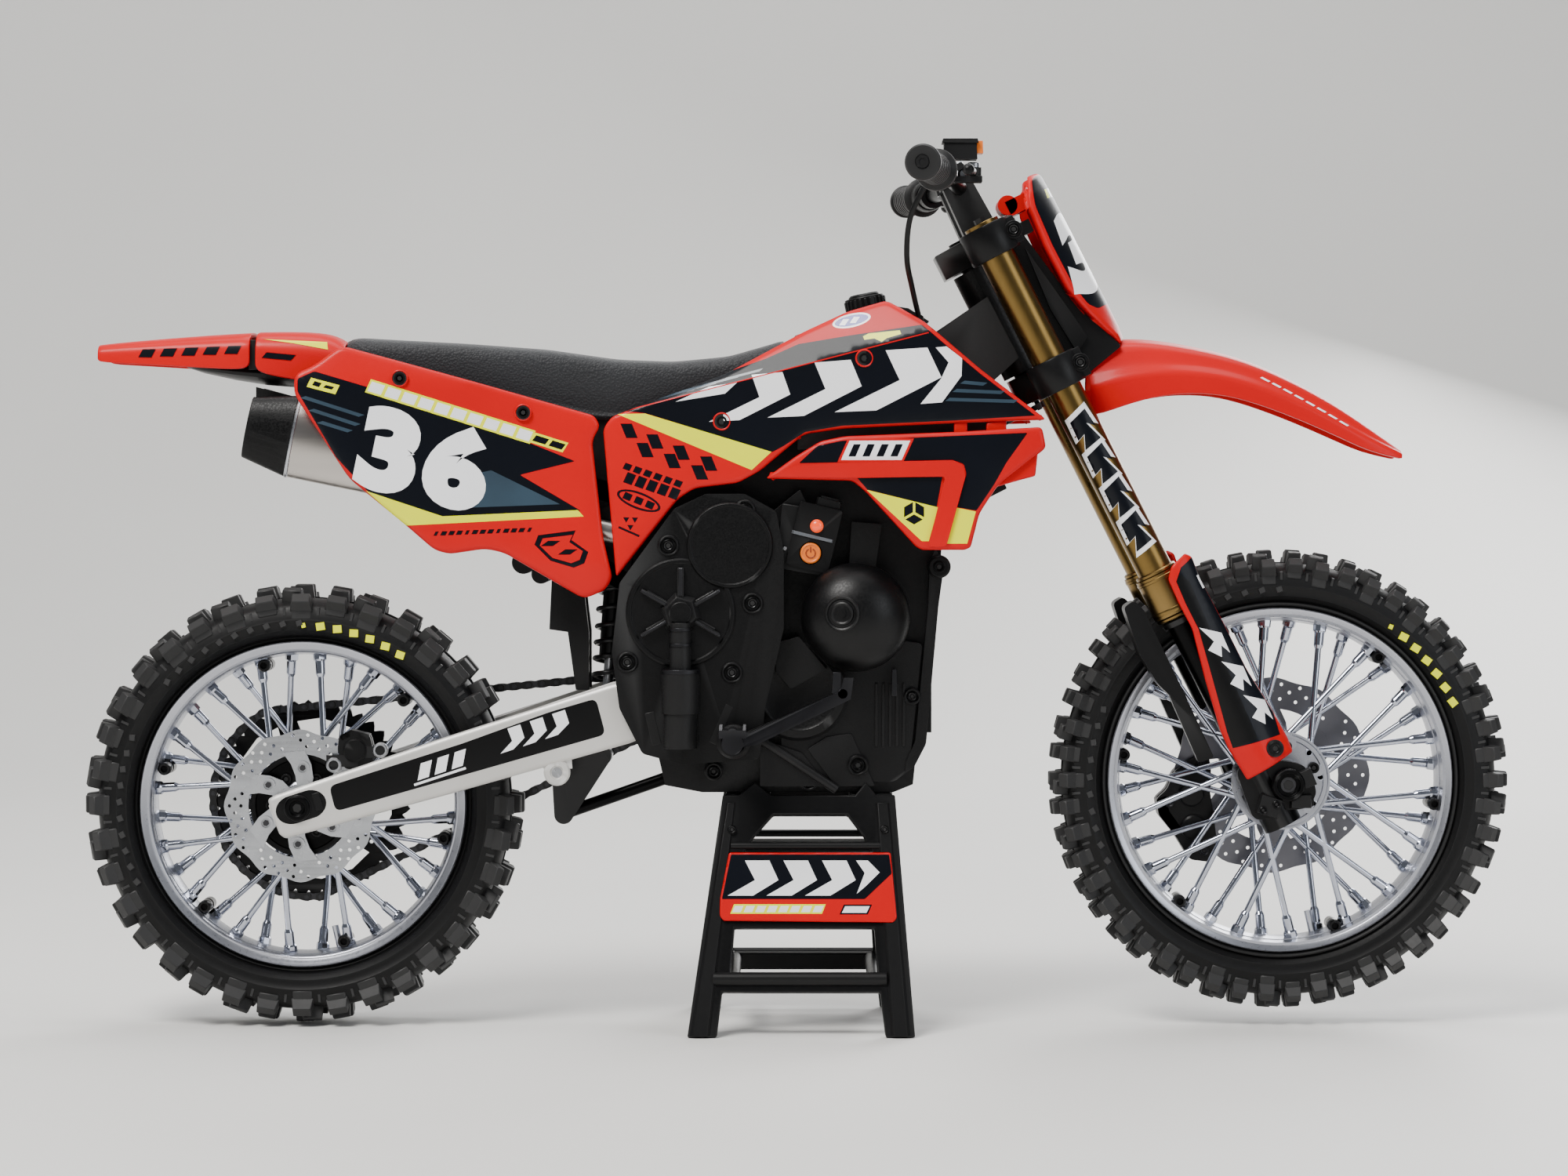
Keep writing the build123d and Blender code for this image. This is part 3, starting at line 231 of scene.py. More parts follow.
# ==== mesh tools ===============================================================
def as_piece(name, bm, finishes, smooth=None):
    """An object made from a millimetre mesh, its sharp edges kept where an angle is given."""
    mesh = bpy.data.meshes.new(name)
    bm.to_mesh(mesh)
    bm.free()
    mesh.transform(Matrix.Scale(MM, 4))
    for finish_material in finishes:
        mesh.materials.append(finish_material)
    mesh.polygons.foreach_set("use_smooth", [True] * len(mesh.polygons))
    if smooth:
        mesh.set_sharp_from_angle(angle=radians(smooth))
    piece = bpy.data.objects.new(name, mesh)
    bpy.context.scene.collection.objects.link(piece)
    return piece


def register(piece, body, replaces=()):
    """Puts a piece on the body it rides on, when one is named, and hides the imported parts it takes
    the place of.
    """
    if body:
        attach(piece, body)
    if replaces:
        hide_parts(*replaces)
    return piece


def finish(name, bm, finishes, body, replaces=(), smooth=32, bevel=0.0, segments=2, thick=0.0,
           soften=0):
    """Turns a millimetre mesh into a piece that rides on a body, when one is named."""
    bmesh.ops.remove_doubles(bm, verts=bm.verts, dist=1e-4)
    bmesh.ops.recalc_face_normals(bm, faces=bm.faces)
    piece = as_piece(name, bm, finishes, smooth)
    if thick:
        shell = piece.modifiers.new("shell", "SOLIDIFY")
        shell.thickness = thick * MM
        shell.offset = -1
        shell.use_even_offset = True
    if bevel:
        rounding = piece.modifiers.new("rounding", "BEVEL")
        rounding.width = bevel * MM
        rounding.segments = segments
        rounding.limit_method = "ANGLE"
        rounding.angle_limit = radians(40)
    if soften:
        softening = piece.modifiers.new("softening", "SUBSURF")
        softening.levels = soften
        softening.render_levels = soften
    return register(piece, body, replaces)


def round_angles(count):
    """Evenly spaced angles all the way round."""
    return [2 * pi * n / count for n in range(count)]


def stitch(bm, rings, material=0, wrap=True, caps=True):
    """Faces between rings of points, each ring a closed loop unless wrap is off."""
    loops = [[bm.verts.new(point) for point in ring] for ring in rings]
    count = len(loops[0])
    faces = []
    for near, far in zip(loops, loops[1:]):
        for index in range(count if wrap else count - 1):
            after = (index + 1) % count
            faces.append(bm.faces.new((near[index], near[after], far[after], far[index])))
    if caps and wrap:
        faces.append(bm.faces.new(list(reversed(loops[0]))))
        faces.append(bm.faces.new(loops[-1]))
    for face in faces:
        face.material_index = material
    return faces


def lathe(bm, profile, origin, axis=ACROSS, segments=64, material=0, closed=False):
    """Turns a profile of (radius, distance along the axis) about the axis."""
    axis = axis.normalized()
    first = axis.orthogonal().normalized()
    second = axis.cross(first)
    points = list(profile) + ([profile[0]] if closed else [])
    rings = []
    for radius, along in points:
        ring = []
        for angle in round_angles(segments):
            outward = first * cos(angle) + second * sin(angle)
            ring.append(origin + outward * max(radius, 0) + axis * along)
        rings.append(ring)
    stitch(bm, rings, material, caps=False)


def prism(bm, outline, push, material=0):
    """A closed solid: a flat outline pushed along a vector."""
    near = [Vector(point) for point in outline]
    stitch(bm, [near, [point + push for point in near]], material)


def plate(bm, outline, y_from, y_to, material=0):
    """A flat piece whose outline is given by x and z, between two y values."""
    points = [Vector((x, y_from, z)) for x, z in outline]
    prism(bm, points, ACROSS * (y_to - y_from), material)


def block(bm, centre, axes, sizes, taper=1.0, material=0):
    """A box on its own three axes, its far end along the third narrowed by taper."""
    first, second, third = axes
    rings = []
    for end, scale in ((-0.5, 1), (0.5, taper)):
        corners = ((-1, -1), (1, -1), (1, 1), (-1, 1))
        rings.append([centre + first * (a * sizes[0] / 2 * scale) + second * (b * sizes[1] / 2 * scale)
                      + third * (end * sizes[2]) for a, b in corners])
    stitch(bm, rings, material)


def rod(bm, start, end, radius, end_radius=None, sides=14, material=0):
    """A round or many-sided bar between two points."""
    start, end = Vector(start), Vector(end)
    end_radius = radius if end_radius is None else end_radius
    run = end - start
    profile = [(0, 0), (radius, 0), (end_radius, run.length), (0, run.length)]
    lathe(bm, profile, start, run, sides, material)


def smooth_route(points, steps=8):
    """Points on a smooth curve through the given ones."""
    given = [Vector(point) for point in points]
    padded = [given[0] * 2 - given[1], *given, given[-1] * 2 - given[-2]]
    out = []
    for a, b, c, d in zip(padded, padded[1:], padded[2:], padded[3:]):
        for step in range(steps):
            t = step / steps
            out.append(0.5 * (2 * b + (c - a) * t + (2 * a - 5 * b + 4 * c - d) * t * t
                              + (3 * b - a - 3 * c + d) * t ** 3))
    return out + [given[-1]]


def tube(bm, route, radius, sides=12, material=0):
    """A round tube along a route of close points."""
    side_way = (route[1] - route[0]).orthogonal().normalized()
    rings = []
    for index, point in enumerate(route):
        before, after = route[max(index - 1, 0)], route[min(index + 1, len(route) - 1)]
        run = (after - before).normalized()
        side_way = (side_way - run * side_way.dot(run)).normalized()
        other = run.cross(side_way)
        ring = []
        for angle in round_angles(sides):
            ring.append(point + (side_way * cos(angle) + other * sin(angle)) * radius)
        rings.append(ring)
    stitch(bm, rings, material)


def rounded(outline, radius, steps=4):
    """The outline with each corner turned by an arc, as far as its sides allow."""
    out = []
    count = len(outline)
    for index in range(count):
        corner = Vector(outline[index])
        before = Vector(outline[index - 1]) - corner
        after = Vector(outline[(index + 1) % count]) - corner
        reach = min(radius, before.length * 0.4, after.length * 0.4)
        start = corner + before.normalized() * reach
        end = corner + after.normalized() * reach
        for step in range(steps + 1):
            t = step / steps
            bend = start * (1 - t) ** 2 + corner * 2 * t * (1 - t) + end * t * t
            out.append(tuple(bend))
    return out


def edge_distance(outline, x, z):
    """How far a point is from the nearest side of the outline."""
    best = 1e18
    x0, z0 = outline[-1]
    for x1, z1 in outline:
        run_x, run_z = x1 - x0, z1 - z0
        square = run_x * run_x + run_z * run_z or 1e-12
        t = max(0, min(1, ((x - x0) * run_x + (z - z0) * run_z) / square))
        gap_x, gap_z = x0 + run_x * t - x, z0 + run_z * t - z
        best = min(best, gap_x * gap_x + gap_z * gap_z)
        x0, z0 = x1, z1
    return best ** 0.5


def inside(loops, x, z):
    """Whether a point is in the outline, or in an odd number of outlines."""
    odd = False
    for loop in loops:
        x0, z0 = loop[-1]
        for x1, z1 in loop:
            if (z1 > z) != (z0 > z) and x < (x0 - x1) * (z - z1) / (z0 - z1) + x1:
                odd = not odd
            x0, z0 = x1, z1
    return odd


def resampled(line, spacing, closed=True):
    """The line with its long sides split up."""
    out = []
    for (x0, z0), (x1, z1) in zip(line, line[1:] + line[:1] if closed else line[1:]):
        parts = max(1, ceil(hypot(x1 - x0, z1 - z0) / spacing))
        out += [(x0 + (x1 - x0) * n / parts, z0 + (z1 - z0) * n / parts) for n in range(parts)]
    return out if closed else out + [line[-1]]


def flat_sheet(outline, step=4.0):
    """The outline as a flat sheet in x and z, cut into cells."""
    sheet = bmesh.new()
    sheet.faces.new([sheet.verts.new((x, 0, z)) for x, z in outline])
    xs = [x for x, _ in outline]
    zs = [z for _, z in outline]
    lines = [(Vector((min(xs) + step * n, 0, 0)), ALONG)
             for n in range(1, int((max(xs) - min(xs)) / step) + 1)]
    lines += [(Vector((0, 0, min(zs) + step * n)), UPWARD)
              for n in range(1, int((max(zs) - min(zs)) / step) + 1)]
    for place, normal in lines:
        geometry = sheet.verts[:] + sheet.edges[:] + sheet.faces[:]
        bmesh.ops.bisect_plane(sheet, geom=geometry, plane_co=place, plane_no=normal)
    return sheet


def printed_sheet(outline, prints, cuts, step):
    """Triangles over an outline, close together at its rim, and the print each is in."""
    points, sides = [], []

    def add_line(line, closed):
        """Adds a line's points and the sides between them."""
        start, count = len(points), len(line)
        points.extend(Vector(point) for point in line)
        sides.extend((start + n, start + (n + 1) % count)
                     for n in range(count if closed else count - 1))

    rim = resampled(outline, 1.6)
    add_line(rim, True)
    for loops, _ in prints:
        for loop in loops:
            add_line(resampled(loop, 2), True)
    for cut in cuts:
        add_line(resampled(list(cut), 2, closed=False), False)
    area = sum(x0 * z1 - x1 * z0 for (x0, z0), (x1, z1) in zip(rim, rim[1:] + rim[:1]))
    turn = 1 if area > 0 else -1
    rows = (0.2, 0.5, 0.9, 1.4, 2)
    for row in rows:
        for before, here, after in zip(rim[-1:] + rim[:-1], rim, rim[1:] + rim[:1]):
            run = Vector(after) - Vector(before)
            spot = Vector(here) + Vector((-run.y, run.x)).normalized() * row * turn
            if edge_distance(outline, *spot) > row - 0.03:
                points.append(spot)
    xs, zs = [x for x, _ in outline], [z for _, z in outline]
    for row in range(int((max(zs) - min(zs)) / step) + 1):
        for column in range(int((max(xs) - min(xs)) / step) + 1):
            x = min(xs) + step * (column + 0.5 * (row % 2))
            z = min(zs) + step * row
            if inside([outline], x, z) and edge_distance(outline, x, z) > 2 + step / 2:
                points.append(Vector((x, z)))
    boxes = []
    for loops, material in prints:
        flat = [point for loop in loops for point in loop]
        boxes.append((min(x for x, _ in flat), max(x for x, _ in flat), min(z for _, z in flat),
                      max(z for _, z in flat), loops, material))
    spots, _, faces = delaunay_2d_cdt(points, sides, [], 0, 1e-4, False)[:3]
    kept = []
    for face in faces:
        x = sum(spots[index].x for index in face) / len(face)
        z = sum(spots[index].y for index in face) / len(face)
        if not inside([outline], x, z):
            continue
        material = 0
        for x_low, x_high, z_low, z_high, loops, index in reversed(boxes):
            if x_low <= x <= x_high and z_low <= z <= z_high and inside(loops, x, z):
                material = index
                break
        kept.append((face, material))
    return spots, kept


def printed(name, outline, place, outward, finishes, body, slot, prints=(), replaces=(), cuts=(),
            thick=2.2, fillet=2.0, drop=1.1, pillow=0.35, step=3.5):
    """A moulded cover with its graphics printed in: place(x, z, low) puts each point of
    the outline in space, low being how far its rim is rolled inwards there."""
    spots, kept = printed_sheet(outline, prints, cuts, step)
    bm = bmesh.new()
    used = {}
    for face, material in kept:
        corners = []
        for index in face:
            if index not in used:
                x, z = spots[index]
                away = edge_distance(outline, x, z)
                rim = max(0, 1 - away / fillet)
                low = drop * (1 - (1 - rim * rim) ** 0.5)
                low += pillow * max(0, 1 - away / 9) ** 2
                used[index] = bm.verts.new(place(x, z, low))
            corners.append(used[index])
        bm.faces.new(corners).material_index = material
    facing = Vector()
    for face in bm.faces:
        face.normal_update()
        facing += face.normal * face.calc_area()
    if facing.dot(outward) < 0:
        bmesh.ops.reverse_faces(bm, faces=bm.faces)
    piece = as_piece(name, bm, [*finishes, finishes[0]], 50)
    shell = piece.modifiers.new("shell", "SOLIDIFY")
    shell.thickness = thick * MM
    shell.offset = -1
    shell.material_offset = len(finishes)
    shell.material_offset_rim = len(finishes)
    return register(piece, body, replaces)


def panel(name, outline, offset, side, body, finishes, slot, prints=(), **shape):
    """A side cover: offset(x, z) is its distance out from the middle plane."""
    def place(x, z, low):
        """A point of the cover in space."""
        return Vector((x, side * (offset(x, z) - low), z))

    return printed(name, outline, place, ACROSS * side, finishes, body, slot, prints, **shape)


def surface_of(*pieces):
    """The finished surfaces of these pieces in millimetres, to lay graphics on."""
    bpy.context.view_layer.update()
    depsgraph = bpy.context.evaluated_depsgraph_get()
    points, faces = [], []
    for piece in pieces:
        mesh = piece.evaluated_get(depsgraph).to_mesh()
        start = len(points)
        points += [vertex.co / MM for vertex in mesh.vertices]
        faces += [[start + index for index in face.vertices] for face in mesh.polygons]
        piece.evaluated_get(depsgraph).to_mesh_clear()
    return BVHTree.FromPolygons(points, faces)


def close_sheet(bm, sheet, near, far, material):
    """Faces on both sides of a flat sheet and round its rim, from its doubled points."""
    made = []
    for face in sheet.faces:
        made.append(bm.faces.new([near[vertex] for vertex in face.verts]))
        made.append(bm.faces.new([far[vertex] for vertex in reversed(face.verts)]))
    for edge in sheet.edges:
        if len(edge.link_faces) == 1:
            a, b = edge.verts
            made.append(bm.faces.new((near[a], near[b], far[b], far[a])))
    for face in made:
        face.material_index = material
    sheet.free()


def curve_sheet(curve):
    """A filled curve as a flat sheet."""
    holder = bpy.data.objects.new("outline", curve)
    bpy.context.scene.collection.objects.link(holder)
    mesh = bpy.data.meshes.new_from_object(holder)
    bpy.data.objects.remove(holder)
    bpy.data.curves.remove(curve)
    sheet = bmesh.new()
    sheet.from_mesh(mesh)
    bpy.data.meshes.remove(mesh)
    bmesh.ops.remove_doubles(sheet, verts=sheet.verts, dist=1e-5)
    return sheet


def drape(bm, sheet, tree, side, material=0, lift=0.15, sunk=0.35):
    """Lays a flat sheet on a surface from the side, as a thin closed solid."""
    tops, bottoms = {}, {}
    for vertex in sheet.verts:
        x, z = vertex.co.x, vertex.co.z
        hit = tree.ray_cast(Vector((x, side * 300, z)), ACROSS * -side)[0]
        if hit is None:
            hit = tree.find_nearest(Vector((x, side * 40, z)))[0]
        tops[vertex] = bm.verts.new((x, hit.y + side * lift, z))
        bottoms[vertex] = bm.verts.new((x, hit.y - side * sunk, z))
    close_sheet(bm, sheet, tops, bottoms, material)


def graphic(bm, outline, tree, side, material=0, lift=0.15, step=4.0):
    """A flat graphic with this outline, laid on a surface."""
    drape(bm, flat_sheet(outline, step), tree, side, material, lift)


def stripe(start, end, width, slant=0.0):
    """A bar's outline between two points, its ends leaning by slant."""
    start, end = Vector(start), Vector(end)
    across = (end - start).normalized()
    square = Vector((-across.y, across.x)) * width / 2
    lean = across * slant
    return [tuple(start - square - lean), tuple(end - square - lean), tuple(end + square + lean),
            tuple(start + square + lean)]


def mark(prints, outline, colour):
    """Adds a one-piece graphic to a cover's prints."""
    prints.append(([outline], colour))


def ellipse(centre, wide, high, steps=24, turn=0.0):
    """An oval outline."""
    out = []
    for angle in round_angles(steps):
        a, b = wide / 2 * cos(angle), high / 2 * sin(angle)
        out.append((centre[0] + a * cos(turn) - b * sin(turn), centre[1] + a * sin(turn)
                    + b * cos(turn)))
    return out


def numerals(text, centre, high, side, material, lean=0.28, bold=0.045, wide=1.0, rise=0.0, gap=0.62):
    """A race number as prints, one for each figure, that read right from their side."""
    out = []
    for place, figure in enumerate(text):
        curve = bpy.data.curves.new("numeral", "FONT")
        curve.body = figure
        curve.align_x = "CENTER"
        curve.align_y = "CENTER"
        curve.shear = lean
        curve.offset = bold
        curve.resolution_u = 6
        sheet = curve_sheet(curve)
        heights = [vertex.co.y for vertex in sheet.verts]
        widths = [vertex.co.x for vertex in sheet.verts]
        scale = high / (max(heights) - min(heights))
        middle = (max(heights) + min(heights)) / 2
        centring = (max(widths) + min(widths)) / 2
        shift = (place - (len(text) - 1) / 2) * gap * high * wide
        sheet.edges.index_update()
        rims = {edge.index: edge for edge in sheet.edges if len(edge.link_faces) == 1}
        loops = []
        while rims:
            edge = rims.pop(min(rims))
            first, here = edge.verts
            loop = [first, here]
            while here is not first:
                edge = next(other for other in here.link_edges if other.index in rims)
                del rims[edge.index]
                here = edge.other_vert(here)
                loop.append(here)
            points = []
            for vertex in loop[:-1]:
                x = -side * ((vertex.co.x - centring) * scale * wide + shift)
                z = (vertex.co.y - middle) * scale + x * rise
                points.append((centre[0] + x, centre[1] + z))
            loops.append(points)
        sheet.free()
        out.append((loops, material))
    return out


def cut_plate(bm, outlines, centre, y_from, y_to, material=0):
    """A flat piece about a centre with holes: the first outline is its edge."""
    curve = bpy.data.curves.new("cut", "CURVE")
    curve.dimensions = "2D"
    curve.fill_mode = "BOTH"
    for outline in outlines:
        spline = curve.splines.new("POLY")
        spline.points.add(len(outline) - 1)
        for point, (x, z) in zip(spline.points, outline):
            point.co = (x, z, 0, 1)
        spline.use_cyclic_u = True
    sheet = curve_sheet(curve)
    near, far = {}, {}
    for vertex in sheet.verts:
        x, z = centre.x + vertex.co.x, centre.z + vertex.co.y
        near[vertex] = bm.verts.new((x, y_from, z))
        far[vertex] = bm.verts.new((x, y_to, z))
    close_sheet(bm, sheet, near, far, material)


def socket_screw(bm, centre, outward, radius, proud=0.8, head=0, dark=1):
    """A round screw head with a rim, a dished face and a six-sided socket; the socket is a plug in the
    dark finish, which with the recess finish is painted shade of the hole.
    """
    outward = outward.normalized()
    profile = [(0, -1.2), (radius, -1.2), (radius, proud - 0.25), (radius * 0.9, proud),
               (radius * 0.62, proud), (radius * 0.55, proud - 0.25), (0, proud - 0.25),]
    lathe(bm, profile, centre, outward, 24, head)
    rod(bm, centre + outward * (proud - 0.6), centre + outward * (proud - 0.18), radius * 0.42,
        sides=6, material=dark)


def panel_screws(name, spots, offset, side, sunk, ring, shade_disc, proud):
    """Screws of a side cover, each in a dark cup with a red ring; the cup is a flat disc of painted
    shade standing for the shaded hole.
    """
    bm = bmesh.new()
    wide, high = shade_disc
    outward = ACROSS * side
    for x, z in spots:
        seat = Vector((x, side * (offset(x, z) - sunk), z))
        lathe(bm, ring, seat, outward, 32, 1, closed=True)
        # A disc of painted shade where the screw's hole is.
        lathe(bm, [(0, -0.4), (wide, -0.4), (wide, high), (0, high)], seat, outward, 24, 2)
        socket_screw(bm, seat, outward, 2.1, proud, head=0, dark=2)
    finish(name, bm, [black_metal, red, recess_shade], "chassis")


def middle_of(node):
    """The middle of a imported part, in millimetres."""
    low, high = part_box(node)
    return (low + high) / 2 / MM


def dressed(node, finishes, body, bevel=0.45, angle=28):
    """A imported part's own shape with its flats cleaned up and its edges eased."""
    bm = bmesh.new()
    bm.from_mesh(frame["nodes"][node].data)
    bmesh.ops.scale(bm, vec=(1 / MM, 1 / MM, 1 / MM), verts=bm.verts)
    bmesh.ops.remove_doubles(bm, verts=bm.verts, dist=0.01)
    bmesh.ops.dissolve_limit(bm, angle_limit=radians(1.5), verts=bm.verts, edges=bm.edges)
    return finish(node + "_eased", bm, finishes, body, replaces=(node,), smooth=angle,
                  bevel=bevel)


def bodies_of():
    """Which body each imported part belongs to."""
    out = {}
    for body, members in frame["record"]["behaviour"]["bodies"].items():
        for node in members:
            out[node] = body
    return out


BODY = bodies_of()

# ==== wheels ===================================================================
rear_centre = middle_of("rear_rim")
front_centre = middle_of("front_rim")
REAR_RADIUS, FRONT_RADIUS = 84.0, 88
REAR_BEAD, FRONT_BEAD = 62.0, 65.5


def around(centre, angle, radius, y=0.0):
    """A point on a circle about a wheel's axle."""
    return Vector((centre.x + radius * cos(angle), y, centre.z + radius * sin(angle)))


def carcass_profile(radius, half, rim):
    """A tyre's section: bead, protector ribs, bulging wall, crown, and its inside."""
    outer = [(rim - 3, 7.9), (rim + 0.4, 8.6), (rim + 0.9, 9.9), (rim + 1.5, 10.3), (rim + 2.1, 10.1),
             (rim + 2.6, half - 3), (rim + 4.2, half - 1.6), (rim + 4.7, half - 1),
             (rim + 5.3, half - 1.1), (rim + 7.5, half - 0.5), (rim + 8.3, half - 0.1),
             (rim + 9, half - 0.3), (radius - 9.5, half - 0.8), (radius - 7.8, half - 2.2),
             (radius - 6.3, half - 5), (radius - 5.4, half * 0.4), (radius - 5.1, 0),]
    inner = [(radius - 8, 0), (radius - 9, half - 5), (rim + 6, half - 4), (rim - 2, 5.2)]
    upper = outer + inner
    lower = [(r, -y) for r, y in reversed(upper) if y > 0]
    return upper + lower


def knob(bm, centre, angle, radius, y, tilt, sizes, taper=0.84, twist=0.0, material=0):
    """A tread block: sizes are round the tyre, across it, and high."""
    radial = Vector((cos(angle), 0, sin(angle)))
    tangent = Vector((-sin(angle), 0, cos(angle)))
    sign = 1 if y >= 0 else -1
    up = radial * cos(tilt) + ACROSS * sign * sin(tilt)
    over = ACROSS * cos(tilt) - radial * sign * sin(tilt)
    turn = Matrix.Rotation(twist, 3, up)
    base = around(centre, angle, radius, y)
    block(bm, base + up * sizes[2] / 2, (turn @ tangent, turn @ over, up), sizes, taper, material)


def build_tyre(name, centre, radius, half, rim, count, sizes, body, node, dash_angles):
    """Carcass, tread blocks and wall marks of one tyre."""
    carcass = bmesh.new()
    lathe(carcass, carcass_profile(radius, half, rim), centre, segments=180, closed=True)
    for side in SIDES:
        for mark in range(26):
            if mark % 13 > 9:
                continue
            angle = radians(205 + mark * 5.2 * side)
            knob(carcass, centre, angle, rim + 7.2, side * (half - 0.8), pi / 2, (2.6, 2.4, 0.75),
                 twist=0.3)
        for rib in range(count):
            angle = 2 * pi * (rib + 0.5) / count
            knob(carcass, centre, angle, radius - 10.2, side * (half - 1.1), pi / 2, (1.1, 3.4, 0.7))
    finish(name + "_carcass", carcass, [rubber], body, replaces=(node,), smooth=38)

    tread = bmesh.new()
    long_way, wide_way = sizes
    for step, angle in enumerate(round_angles(count)):
        half_step = pi / count
        if step % 2:
            for side in SIDES:
                knob(tread, centre, angle, radius - 5.9, side * half * 0.21, radians(4),
                     (long_way * 0.92, wide_way * 0.36, 5.5))
                knob(tread, centre, angle + half_step * 0.5, radius - 7, side * half * 0.62,
                     radians(24), (long_way, wide_way * 0.36, 5.6), twist=side * 0.18)
        else:
            knob(tread, centre, angle, radius - 5.6, 0, 0, (long_way, wide_way * 0.56, 5.3))
            for side in SIDES:
                knob(tread, centre, angle, radius - 6.4, side * half * 0.47, radians(15),
                     (long_way * 0.9, wide_way * 0.32, 5.5))
        for side in SIDES:
            deep = 1.0 if step % 2 else 0
            knob(tread, centre, angle, radius - 8 - deep * 0.6, side * (half - 2.6), radians(47),
                 (long_way, 4.4 + deep, 5.2), taper=0.8)
            knob(tread, centre, angle, radius - 9.6 - deep * 1.2, side * (half - 1.6), radians(84),
                 (long_way * 0.92, 3.4 + deep * 2.2, 1.3), taper=0.9)
            socket = around(centre, angle, radius - 4.3, side * (half + 1.1))
            outward = Vector((cos(angle), side * 1, sin(angle)))
            rod(tread, socket - outward * 1.3, socket - outward * 0.35, 0.9, sides=8)
    finish(name + "_tread", tread, [rubber], body, smooth=30, bevel=0.3, segments=1)

    marks = bmesh.new()
    start, end = dash_angles
    for side in SIDES:
        for dash in range(7):
            angle = radians(start + (end - start) * (dash + 0.5) / 7)
            if side > 0:
                angle = pi - angle
            long_dash = 3.4 if dash else 1.6
            knob(marks, centre, angle, rim + 6.3, side * (half - 1.15), pi / 2,
                 (long_dash, 3 if dash else 1.8, 0.95), taper=0.96, twist=-side * 0.25)
    finish(name + "_wall_marks", marks, [yellow], body, smooth=30)


build_tyre("rear_tyre", rear_centre, REAR_RADIUS, 15, REAR_BEAD, 36, (8.6, 10.6), "rear_wheel",
           "rear_tyre", (92, 54))
build_tyre("front_tyre", front_centre, FRONT_RADIUS, 12, FRONT_BEAD, 50, (6.4, 8.8), "front_wheel",
           "front_tyre", (57, 22))


def build_rim(name, centre, rim, half, band, body, screw_radius, first_screw):
    """Rolled lips on both sides of the rim, its well, bead screws and a valve."""
    bm = bmesh.new()
    lip = [(rim - band, half - 1.6), (rim - band + 0.3, half + 0.1), (rim - band + 0.9, half + 0.8),
           (rim - 1.6, half + 1.05), (rim - 0.7, half + 1.5), (rim + 0.1, half + 1.7),
           (rim + 0.5, half + 1.3), (rim + 0.5, half + 0.6), (rim - 0.2, half - 0.6),
           (rim - 1, half - 1.6),]
    for side in SIDES:
        lathe(bm, [(r, y * side) for r, y in lip], centre, segments=160, closed=True)
    inner = [(rim - 4, -6), (rim - 4.6, -3.4), (rim - 4.9, 0), (rim - 4.6, 3.4), (rim - 4, 6),
             (rim - 3.4, 6), (rim - 3.4, -6),]
    lathe(bm, inner, centre, segments=160, closed=True)
    rod(bm, around(centre, radians(283), rim - 13, 0), around(centre, radians(283), rim - 4), 1.3,
        sides=12)
    for step in range(6):
        angle = radians(first_screw + 60 * step)
        for side in SIDES:
            seat = around(centre, angle, screw_radius, side * (half - 3.4))
            lathe(bm, [(0, -5), (2.4, -5), (2.4, 1.6), (1.9, 2.2), (1.3, 2.2), (1.1, 0.8), (0, 0.8)],
                  seat, ACROSS * side, 20, 1)
    finish(name, bm, [rim_metal, black_metal], body, smooth=40)


build_rim("rear_rim_lips", rear_centre, 61.6, 9.6, 3.9, "rear_wheel", 54.8, 46)
build_rim("front_rim_lips", front_centre, 65.1, 8.7, 3.1, "front_wheel", 60, 51)


def build_spokes(name, centre, rim, flange, flange_y, count, body, node):
    """Crossed spokes with bent heads at the hub and long nipples at the rim."""
    bm = bmesh.new()
    for index in range(count):
        side = -1 if index % 2 else 1
        lean = 31 if index % 4 < 2 else -31
        rim_angle = radians(360 / count * (index + 0.5))
        hub_angle = rim_angle + radians(lean)
        inner = around(centre, hub_angle, flange, side * flange_y)
        outer = around(centre, rim_angle, rim - 3.6, side * 3.2)
        run = (outer - inner).normalized()
        rod(bm, inner, outer, 1.2, sides=12)
        rod(bm, inner - run * 0.8, inner + run * 5.5, 1.5, 1.3, sides=10)
        rod(bm, outer - run * 9.6, outer - run * 8.4, 1.3, 1.85, sides=12)
        rod(bm, outer - run * 8.4, outer - run * 3.4, 1.85, 1.95, sides=12)
        rod(bm, outer - run * 3.6, outer - run * 2.9, 2, 2.5, sides=8)
        rod(bm, outer - run * 2.9, outer, 2.5, 2.6, sides=8)
        head = around(centre, hub_angle, flange - 0.4, side * (flange_y + 1.5))
        rod(bm, head, head + ACROSS * side, 1.7, 1.2, sides=10)
    finish(name, bm, [chrome], body, replaces=(node,), smooth=40)


build_spokes("rear_spoke_set", rear_centre, 61.5, 14.4, 11.5, 32, "rear_wheel", "rear_spokes")
build_spokes("front_spoke_set", front_centre, 65, 15.4, 10.4, 36, "front_wheel", "front_spokes")


def wavy_edge(radius, waves, depth, steps=96):
    """A scalloped round outline about the origin."""
    out = []
    for angle in round_angles(steps):
        reach = radius - depth * (0.5 - 0.5 * cos(waves * angle))
        out.append((reach * cos(angle), reach * sin(angle)))
    return out


def circle(radius, centre=(0, 0), steps=14):
    """A round outline."""
    return ellipse(centre, radius * 2, radius * 2, steps)


